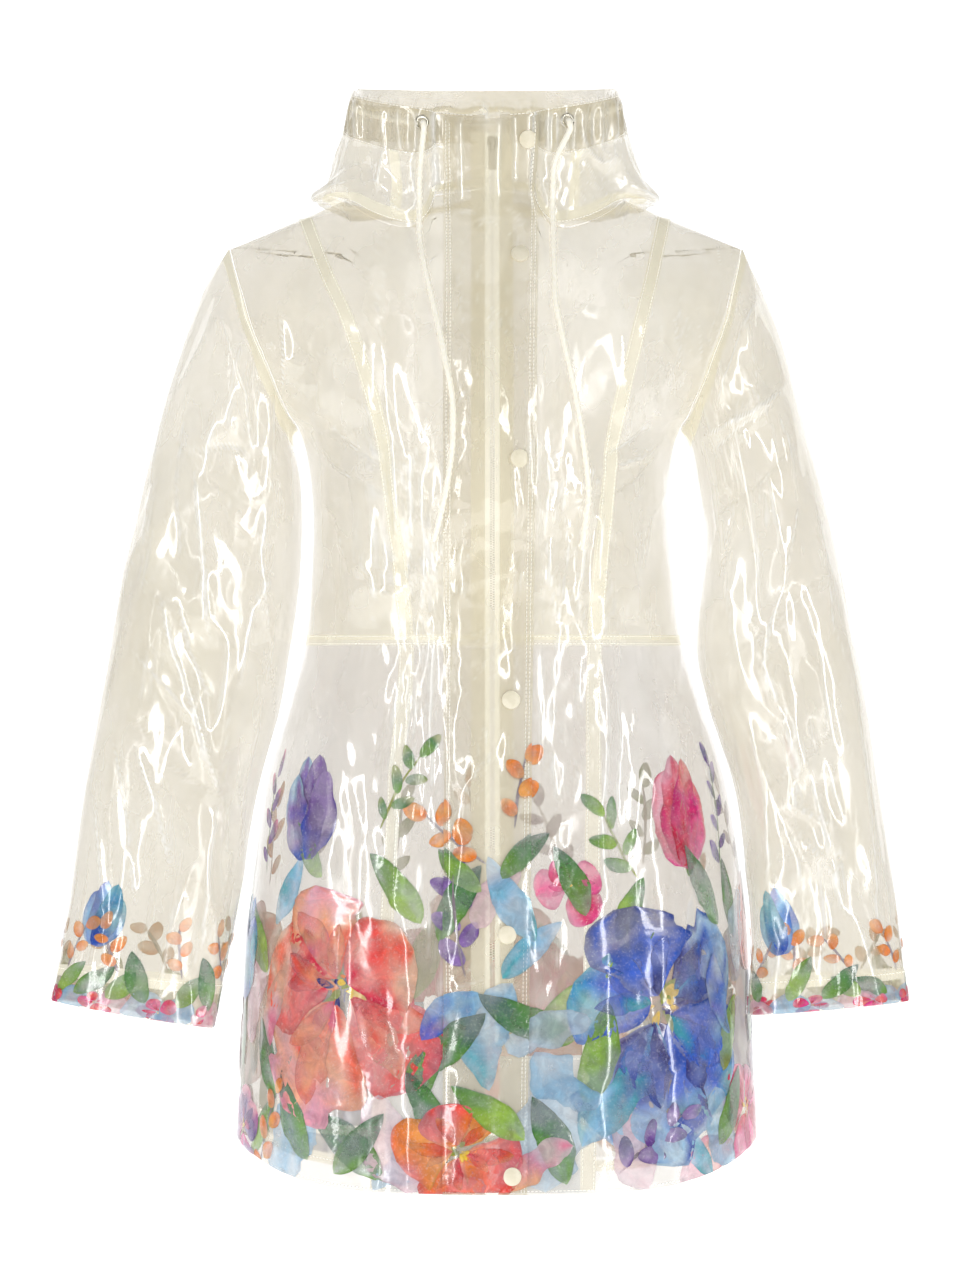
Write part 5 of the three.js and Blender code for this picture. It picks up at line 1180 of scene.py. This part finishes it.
HALF_TAPE = 6
seam_offsets = np.linspace(-HALF_TAPE, HALF_TAPE, 5)
for wearer, name in ((-1, "right"), (1, "left")):
    seam = princess_angle(wearer)
    v = np.linspace(0, 0.985, 160)
    x, z = bodice_place(FRONT, wearer, seam, seam, np.ones(160), v)
    tape_piece(
        f"tape_princess_bodice_{name}",
        body_point(FRONT, x[:, None] + seam_offsets, z[:, None], TAPE_BEHIND),
        [f"princess_tape_bodice_{name}"],
    )
    z = np.linspace(WAIST, HEM + 3, 170)
    x = wearer * princess(wearer, z)
    tape_piece(
        f"tape_princess_skirt_{name}",
        body_point(FRONT, x[:, None] + seam_offsets, z[:, None], TAPE_BEHIND),
        [f"princess_tape_skirt_{name}"],
    )


def ring_of_body(level, start, end, count, height):
    """A line round the body at a level given by the section's angle, from the front's middle."""
    angle = np.linspace(start, end, count)
    z = level(angle) if callable(level) else np.full(count, float(level))
    side = np.where(np.cos(angle) > 0, FRONT, BACK)
    x = column(BODY, "half_width", z) * np.sin(angle)
    return body_point(side, x, z, height)


def body_band(levels, start, end, count, height):
    return np.stack([ring_of_body(level, start, end, count, height) for level in levels])


zip_angle_at_waist = float(front_angle(1)(WAIST))
waist_levels = np.linspace(WAIST - 4.3, WAIST + 4.3, 4)
tape_piece(
    "tape_waist",
    body_band(waist_levels, zip_angle_at_waist, 2 * math.pi - zip_angle_at_waist, 330, -1.1),
    ["waist_tape"],
)
hem_angle = float(princess_angle(1)(HEM + 20)) + 0.03
hem_bands = [lambda a, d=d: hem_level(a) + d for d in (18, 21, 24, 27)]
tape_piece(
    "tape_hem",
    body_band(hem_bands, hem_angle, 2 * math.pi - hem_angle, 330, -1.1),
    ["hem_tape"],
)

for name in ("right", "left"):
    turn, row = np.meshgrid(np.linspace(0, 2 * math.pi, 134)[:-1], np.linspace(9.26, 9.42, 4))
    tape_piece(
        f"tape_cuff_{name}", sleeve_point(name, turn, row, TAPE_BEHIND), [f"cuff_tape_{name}"],
        closed=True,
    )
    turn, share = np.meshgrid(np.linspace(0, 2 * math.pi, 134)[:-1], np.linspace(0.2, 1.2, 4))
    first_row = sleeve_base(name, turn, np.full(turn.shape, 0.9)) - sleeve_base(name, turn, np.full(turn.shape, 0.1))
    row = share * ARMHOLE_TAPE / np.maximum(np.linalg.norm(first_row, axis=-1) / 0.8, ARMHOLE_TAPE)
    tape_piece(
        f"tape_armhole_{name}", sleeve_point(name, turn, row, TAPE_BEHIND), [f"armhole_tape_{name}"],
        closed=True,
    )

angle, row = np.meshgrid(np.linspace(ZIP_ANGLE + 6, 354 + ZIP_ANGLE, 330), np.linspace(0.5, 1.3, 6))
tape_piece("tape_neck", hood_point(angle, row, -1.1), ["neck_tape"])
for name, wearer in WEARER.items():
    middle = HOOD_SEAM if wearer > 0 else 360 - HOOD_SEAM
    angle, row = np.meshgrid(np.linspace(middle - 2.8, middle + 2.8, 5), np.linspace(1, CASING_ROW, 40))
    tape_piece(f"tape_hood_{name}", hood_point(angle, row, TAPE_BEHIND), [f"hood_tape_{name}"])

# Zip: two woven tapes and a chain of teeth down their middle.
zip_rows = (ZIP_BOTTOM, 6.2)
for wearer, name in ((-1, "right"), (1, "left")):
    points = rails(wearer * np.linspace(2.0, ZIP_TAPE_HALF, 7), *zip_rows, 300)
    points -= wearer * 1.3 * grid_normals(points)
    tape_piece(f"tape_zip_{name}", points, [f"zip_tape_{name}"])

chain = rail(0.001, ZIP_BOTTOM, 6.2, count=760)
spread_rails = rails([-3, 3], ZIP_BOTTOM, 6.2, 760)
chain_across = spread_rails[:, 1] - spread_rails[:, 0]
chain_across /= np.linalg.norm(chain_across, axis=1, keepdims=True)
chain_along = np.gradient(chain, axis=0)
chain_along /= np.linalg.norm(chain_along, axis=1, keepdims=True)
chain_out = np.cross(chain_across, chain_along)
tooth = np.array([(x, y, z) for x in (-1, 1) for y in (-1, 1) for z in (-1, 1)], float)
tooth_faces = [(0, 1, 3, 2), (4, 6, 7, 5), (0, 4, 5, 1), (2, 3, 7, 6), (0, 2, 6, 4), (1, 5, 7, 3)]
parts = []
for i in range(0, 760, 1):
    sign = 1 if i % 2 else -1
    size = tooth * (1.15, 0.42, 0.75)
    size[:, 0] += sign * 0.85
    size[:, 1] *= np.where(size[:, 0] * sign > 1, 0.7, 1)
    place = chain[i] - chain_out[i] * 0.2
    points = place + size[:, :1] * chain_across[i] + size[:, 1:2] * chain_along[i] + size[:, 2:] * chain_out[i]
    parts.append((points, tooth_faces, {}))
points, faces, _ = joined(parts)
teeth = mesh_object("zip_teeth_coil", points, faces, smooth=False)
teeth_material, tree, shader = material("teeth", roughness=0.35, color=(0.9, 0.89, 0.83))
# The emission is painted light: the teeth glow so that they read bright behind the film.
shader.inputs["Emission Color"].default_value = (0.93, 0.91, 0.8, 1)
shader.inputs["Emission Strength"].default_value = 0.2
tree.links.new(mix_color(tree, noise_node(tree, stretched(tree, 1, 1, 1), 200), (0.84, 0.83, 0.76), (0.94, 0.93, 0.88)), shader.inputs["Base Color"])
teeth.data.materials.append(teeth_material)
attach(teeth, "coat")
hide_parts("zip_teeth")

# Small parts at the front: domed snap caps on the flap, eyelets in the hood's edge and the slider
# with its pull tab, which get a pale, partly metallic finish.


def turned(profile, centre, normal, sides=28):
    """A profile of radius and height, turned about a surface's normal at a point."""
    normal = normal / np.linalg.norm(normal)
    first = np.cross(normal, (0.0, 0.0, 1.0))
    first /= np.linalg.norm(first)
    second = np.cross(normal, first)
    angle = np.linspace(0, 2 * math.pi, sides + 1)[:-1]
    radius, height = np.array(profile, float).T
    ring = np.cos(angle)[:, None] * first + np.sin(angle)[:, None] * second
    points = centre + radius[:, None, None] * ring + height[:, None, None] * normal
    return points.reshape(-1, 3), grid_faces(len(profile), sides, True)[:, ::-1]


def speckled(name, first, second, scale, metallic, roughness, relief, painted_glow=0.0):
    """Colours mixed by a fine noise, which also moves the gloss and the relief a little; the last argument is painted
    light, an emission of the second colour.
    """
    made, tree, shader = material(name, metallic, roughness)
    # Emission: painted light, a glow of the second colour though the part is no lamp.
    shader.inputs["Emission Color"].default_value = (*second, 1)
    shader.inputs["Emission Strength"].default_value = painted_glow
    spots = noise_node(tree, stretched(tree, 1, 1, 1), scale, 4, 0.6)
    tree.links.new(mix_color(tree, mapped(tree, spots, 0.35, 0.65, 0, 1), first, second), shader.inputs["Base Color"])
    tree.links.new(mapped(tree, spots, 0.3, 0.7, roughness * 0.8, roughness * 1.3), shader.inputs["Roughness"])
    bump(tree, shader, spots, relief, 0.0003)
    return made


# The snap caps glow faintly: painted light.
snap_material = speckled("snap", (0.78, 0.72, 0.55), (0.85, 0.79, 0.63), 130, 0, 0.34, 0.2, 0.08)
metal_material = speckled("metal", (0.56, 0.53, 0.44), (0.74, 0.71, 0.62), 220, 1, 0.26, 0.15)
pull_material = speckled("pull", (0.78, 0.76, 0.68), (0.9, 0.88, 0.8), 220, 0.25, 0.3, 0.15)
SNAPS = ((30, 48), (25, -51), (24, -219), (17, -415), (14, -605), (18, -799))
CAP = ((0.01, 2.5), (2.6, 2.46), (4.6, 2.3), (6.0, 2.0), (6.6, 1.86), (6.9, 1.9), (7.3, 1.7), (7.5, 1.2), (7.45, 0.6), (7.1, 0.3), (0.01, 0.3))
for number, (x, z) in enumerate(SNAPS, 1):
    centre, normal = flap_at(np.array([x - ZIP_X]), np.array([float(z)]))
    points, faces = turned(CAP, centre[0], normal[0], 36)
    cap = mesh_object(f"cap_{number}", points, faces)
    cap.data.materials.append(snap_material)
    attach(cap, "coat")
    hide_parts(f"snap_{number}")

EYELETS = {"right": -26, "left": 34}
RING = [(4.6 + 1.45 * math.cos(a), 1.1 + 0.75 * math.sin(a)) for a in np.linspace(0, 2 * math.pi, 13)]
EYELET_LIFT = 0.9
eyelet_at = {}
for name, angle in EYELETS.items():
    centre = hood_point(angle, HOOD_CORD_ROW)
    normal = normals_of(hood_base, np.array(float(angle)), np.array(float(HOOD_CORD_ROW)), 0.5, 0.02)
    eyelet_at[name] = (centre, normal)
    points, faces = turned(RING, centre + EYELET_LIFT * normal, normal, 32)
    ring = mesh_object(f"ring_{name}", points, faces)
    ring.data.materials.append(metal_material)
    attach(ring, "coat")
    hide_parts(f"eyelet_{name}")

for node in ("zip_slider", "pull_tab"):
    bpy.data.objects[node].data.materials.clear()
    bpy.data.objects[node].data.materials.append(pull_material)

# Cords: soft round braids, 5 mm thick. One runs in the hood's casing from eyelet to eyelet round
# the back, and its two ends hang free in front, cut off bare.
CORD_RADIUS = 2.5
HANGS = {
    "right": [
        (-56.3, -64, 39.7), (-58, -62.6, 18), (-58, -63.4, -4), (-58, -70, -28.4), (-54.5, -84, -52.8),
        (-47.7, -97.4, -82.6), (-41.1, -109.5, -111.9), (-35.3, -120.5, -141.2), (-30.4, -126.6, -170.1),
        (-30.3, -130, -202.8), (-33.6, -130, -231.3), (-39.3, -127.4, -259.6), (-45.9, -120, -285),
    ],
    "left": [
        (54.4, -63.6, 31.5), (52.6, -62.6, 12), (52, -63, -6), (52.4, -71, -26), (52.6, -79.5, -44.1),
        (53.2, -90, -66), (53.9, -98.2, -86.7), (59.5, -106.8, -115.9), (66.7, -113, -148.2),
        (71.6, -114.8, -173.6), (75.7, -114.6, -198.1), (80.6, -112.4, -242.1), (78.2, -111.6, -267.3),
        (75.8, -109.4, -292),
    ],
}


def smooth_line(points, step):
    """Points at even steps on the smooth line through the given ones."""
    p = np.array(points, float)
    p = np.concatenate([[2 * p[0] - p[1]], p, [2 * p[-1] - p[-2]]])
    f = np.linspace(0, 1, 24, endpoint=False)[:, None]
    fine = np.concatenate([catmull_rom(p[k], p[k + 1], p[k + 2], p[k + 3], f) for k in range(len(p) - 3)] + [p[-2:-1]])
    along = np.concatenate([[0], np.cumsum(np.linalg.norm(np.diff(fine, axis=0), axis=1))])
    even = np.linspace(0, along[-1], max(3, round(along[-1] / step)))
    return np.stack([np.interp(even, along, fine[:, i]) for i in range(3)], -1), along[-1]


def braid(points, radius, sides=16):
    """A tube whose radius swells where two sets of strands cross."""
    along = np.gradient(points, axis=0)
    along /= np.linalg.norm(along, axis=1, keepdims=True)
    first = np.cross(along, (0.02, 1.0, 0.01))
    first /= np.linalg.norm(first, axis=1, keepdims=True)
    second = np.cross(along, first)
    length = np.concatenate([[0], np.cumsum(np.linalg.norm(np.diff(points, axis=0), axis=1))])[:, None]
    angle = np.linspace(0, 2 * math.pi, sides + 1)[None, :-1]
    strands = np.cos(4 * angle + 2 * math.pi * length / 6) + np.cos(4 * angle - 2 * math.pi * length / 6)
    ends = np.minimum(length, length[-1] - length)
    r = (radius - 0.12 + 0.11 * strands) * np.sqrt(np.clip(ends / 1.4, 0.0001, 1))
    ring = np.cos(angle)[..., None] * first[:, None] + np.sin(angle)[..., None] * second[:, None]
    return (points[:, None] + r[..., None] * ring).reshape(-1, 3), grid_faces(len(points), sides, True)


# The cord glows a little: painted light.
cord_material = speckled("cord", (0.84, 0.8, 0.68), (0.92, 0.89, 0.78), 500, 0, 0.8, 0.5, 0.22)
for name, hang in HANGS.items():
    centre, normal = eyelet_at[name]
    start = [centre + normal * out - np.array((0, 0, down)) for out, down in ((3.4, 0), (6.4, 0.8), (7.6, 4), (6.6, 9))]
    path, length = smooth_line([*start, *hang], 0.8)
    points, faces = braid(path, CORD_RADIUS)
    cord = mesh_object(f"cord_{name}", points, faces)
    cord.data.materials.append(cord_material)
    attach(cord, "coat")
    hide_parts(f"drawcord_{name}")

angle = np.linspace(EYELETS["left"], 360 + EYELETS["right"], 90)
path, length = smooth_line(hood_point(angle, HOOD_CORD_ROW, -3.6), 1.3)
points, faces = braid(path, CORD_RADIUS, 10)
cord = mesh_object("cord_in_casing", points, faces)
cord.data.materials.append(cord_material)
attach(cord, "coat")
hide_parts("hood_cord")

# Facing: behind the zip's lower end the two fronts are backed with a bluish white film, topstitched
# across its upper edge over a tape.
# The facing glows a little: painted light.
facing_material = speckled("facing", (0.72, 0.78, 0.84), (0.88, 0.9, 0.92), 26, 0, 0.3, 0.3, 0.25)
FACING_TOP = ZIP_BOTTOM - 8
for wearer, name in ((-1, "right"), (1, "left")):
    seam, inner = princess_angle(wearer), front_angle(wearer)
    for piece_name, node, top, bottom, behind, stuff, slot, flat in (
        ("facing", "hem_facing", FACING_TOP, HEM + 1.5, -2.2, facing_material, "print", (0.088, 0.11)),
        ("facing_band", "facing_tape", FACING_TOP - 1, FACING_TOP - 11, -3.0, tape_material, "tape", (0.01, 0.088)),
    ):
        share, z = np.meshgrid(np.linspace(0, 1, 34), np.linspace(top, bottom, 40 if slot == "print" else 5))
        angle = inner(z) + (seam(z) - inner(z)) * share
        x = wearer * column(BODY, "half_width", z) * np.sin(angle)
        grid = body_point(FRONT, x, z, behind)
        piece = mesh_object(f"{piece_name}_{name}", grid, grid_faces(*grid.shape[:2]))
        piece.data.materials.append(stuff)
        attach(piece, "coat")
        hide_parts(f"{node}_{name}")

# Stitches: short raised threads in rows along the flap's edges, the seams, the hem and the cuffs.
STITCH_PITCH, STITCH_LENGTH, THREAD = 3.3, 2.3, 0.24


def stitches(line, normals):
    """Little six-point threads along a line of points, lying on its surface."""
    along = np.concatenate([[0], np.cumsum(np.linalg.norm(np.diff(line, axis=0), axis=1))])
    centre = np.arange(STITCH_PITCH, along[-1] - STITCH_PITCH, STITCH_PITCH)

    def at(values, where):
        return np.stack([np.interp(where, along, values[:, i]) for i in range(3)], -1)

    start, end = at(line, centre - STITCH_LENGTH / 2), at(line, centre + STITCH_LENGTH / 2)
    normal = at(normals, centre)
    normal /= np.linalg.norm(normal, axis=1, keepdims=True)
    side = np.cross(end - start, normal)
    side /= np.linalg.norm(side, axis=1, keepdims=True)
    rise, wide = normal * THREAD * 1.7, side * THREAD
    points = np.stack([start - wide, start + wide, start * 0.8 + end * 0.2 + rise, end * 0.8 + start * 0.2 + rise, end - wide, end + wide], 1)
    order = np.arange(len(centre))[:, None, None] * 6
    faces = order + np.array([(0, 2, 3, 4), (1, 5, 3, 2), (0, 1, 2, 2), (4, 3, 5, 5)])[None]
    return points.reshape(-1, 3), faces.reshape(-1, 4)


seams = []
for share in (0.035, 0.075, 0.925, 0.965):
    at = share * (len(flap_shares) - 1)
    i, f = int(at), at - int(at)
    line = flap_points[:, i] * (1 - f) + flap_points[:, i + 1] * f
    normals = flap_normal[:, i]
    seams.append((line + 0.2 * normals, normals))
for wearer in (-1, 1):
    seam = princess_angle(wearer)
    for offset in (-4.5, 4.5):
        x, z = bodice_place(FRONT, wearer, seam, seam, np.ones(200), np.linspace(0.01, 0.985, 200))
        seams.append((body_point(FRONT, x + offset, z, 0.2), body_point(FRONT, x + offset, z, 1.2)))
        z = np.linspace(WAIST - 2, HEM + 2, 200)
        x = wearer * princess(wearer, z) + offset
        seams.append((body_point(FRONT, x, z, 0.2), body_point(FRONT, x, z, 1.2)))
    z = np.full(60, FACING_TOP - 3.0)
    x = np.linspace(ZIP_HALF_GAP + 1, princess(wearer, z[0]) - 2, 60) * wearer
    seams.append((body_point(FRONT, x, z, 0.2), body_point(FRONT, x, z, 1.2)))
for level, start in ((lambda a: WAIST - 3.0 + 0 * a, zip_angle_at_waist), (lambda a: WAIST + 3.0 + 0 * a, zip_angle_at_waist), (lambda a: hem_level(a) + 22, hem_angle), (lambda a: hem_level(a) + 3, 0.1)):
    line, above = (ring_of_body(level, start, 2 * math.pi - start, 500, h) for h in (0.2, 1.2))
    seams.append((line, above))
for name in ("right", "left"):
    for row in (9.3, 9.96):
        turn = np.linspace(0, 2 * math.pi, 160)
        seams.append((sleeve_point(name, turn, np.full(160, row), 0.2), sleeve_point(name, turn, np.full(160, row), 1.2)))
angle = np.linspace(ZIP_ANGLE + 6, 354 + ZIP_ANGLE, 400)
for row in (0.55, CASING_ROW + 0.05, 7.9):
    seams.append((hood_point(angle, row, 0.2), hood_point(angle, row, 1.2)))
parts = []
for line, above in seams:
    normals = above if np.abs(np.linalg.norm(above, axis=1) - 1).max() < 0.01 else above - line
    points, faces = stitches(line, normals)
    parts.append((points, faces, {}))
points, faces, _ = joined(parts)
faces = [tuple(dict.fromkeys(face)) for face in faces]
thread = mesh_object("stitching", points, np.array(faces, dtype=object), smooth=False)
# The thread glows a little: painted light.
thread_material = speckled("thread", (0.88, 0.87, 0.8), (0.96, 0.95, 0.9), 900, 0, 0.6, 0.3, 0.3)
thread.data.materials.append(thread_material)
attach(thread, "coat")

# Floor and light: a pale sweep that is clear from behind, a bright even surround, and two tall soft
# boxes whose reflections run down the front as broken vertical bands.
sweep_profile = [(-2.6, -1.15), (2.2, -1.15), (2.8, -1.05), (3.2, -0.6), (3.35, 0.2), (3.4, 3.4)]
sweep = mesh_object(
    "sweep", [(x * 1000, y * 1000, z * 1000) for y, z in sweep_profile for x in (-5, 5)],
    grid_faces(len(sweep_profile), 2),
)
sweep_material, tree, shader = material("sweep", roughness=0.9, color=(0.96, 0.96, 0.96))
shader.inputs["Emission Color"].default_value = (1, 1, 1, 1)
shader.inputs["Emission Strength"].default_value = 0.72
behind = tree.nodes.new("ShaderNodeNewGeometry").outputs["Backfacing"]
tree.links.new(math_node(tree, "SUBTRACT", 1, behind), shader.inputs["Alpha"])
sweep.data.materials.append(sweep_material)


def soft_box(name, place, aim, width, height, power):
    light = bpy.data.lights.new(name, "AREA")
    light.shape = "RECTANGLE"
    light.size, light.size_y, light.energy = width, height, power
    made = bpy.data.objects.new(name, light)
    bpy.context.scene.collection.objects.link(made)
    made.location = place
    made.rotation_euler = (Vector(aim) - Vector(place)).to_track_quat("-Z", "Y").to_euler()
    return made


soft_box("box_left", (-1.65, -2.55, 0.0), (0, 0, -0.4), 0.26, 2.3, 22)
soft_box("box_right", (1.65, -2.55, 0.0), (0, 0, -0.4), 0.26, 2.3, 22)
soft_box("box_top", (0, -1.6, 2.4), (0, 0, -0.3), 2.4, 1.2, 7)
world = bpy.data.worlds.new("studio")
world.use_nodes = True
world.node_tree.nodes["Background"].inputs["Color"].default_value = (1, 1, 1, 1)
seen = world.node_tree.nodes.new("ShaderNodeLightPath").outputs["Is Camera Ray"]
surround = math_node(world.node_tree, "ADD", math_node(world.node_tree, "MULTIPLY", seen, 0.72), 0.26)
world.node_tree.links.new(surround, world.node_tree.nodes["Background"].inputs["Strength"])
bpy.context.scene.world = world
bpy.context.scene.view_settings.view_transform = "Standard"
bpy.context.scene.cycles.transparent_max_bounces = 24
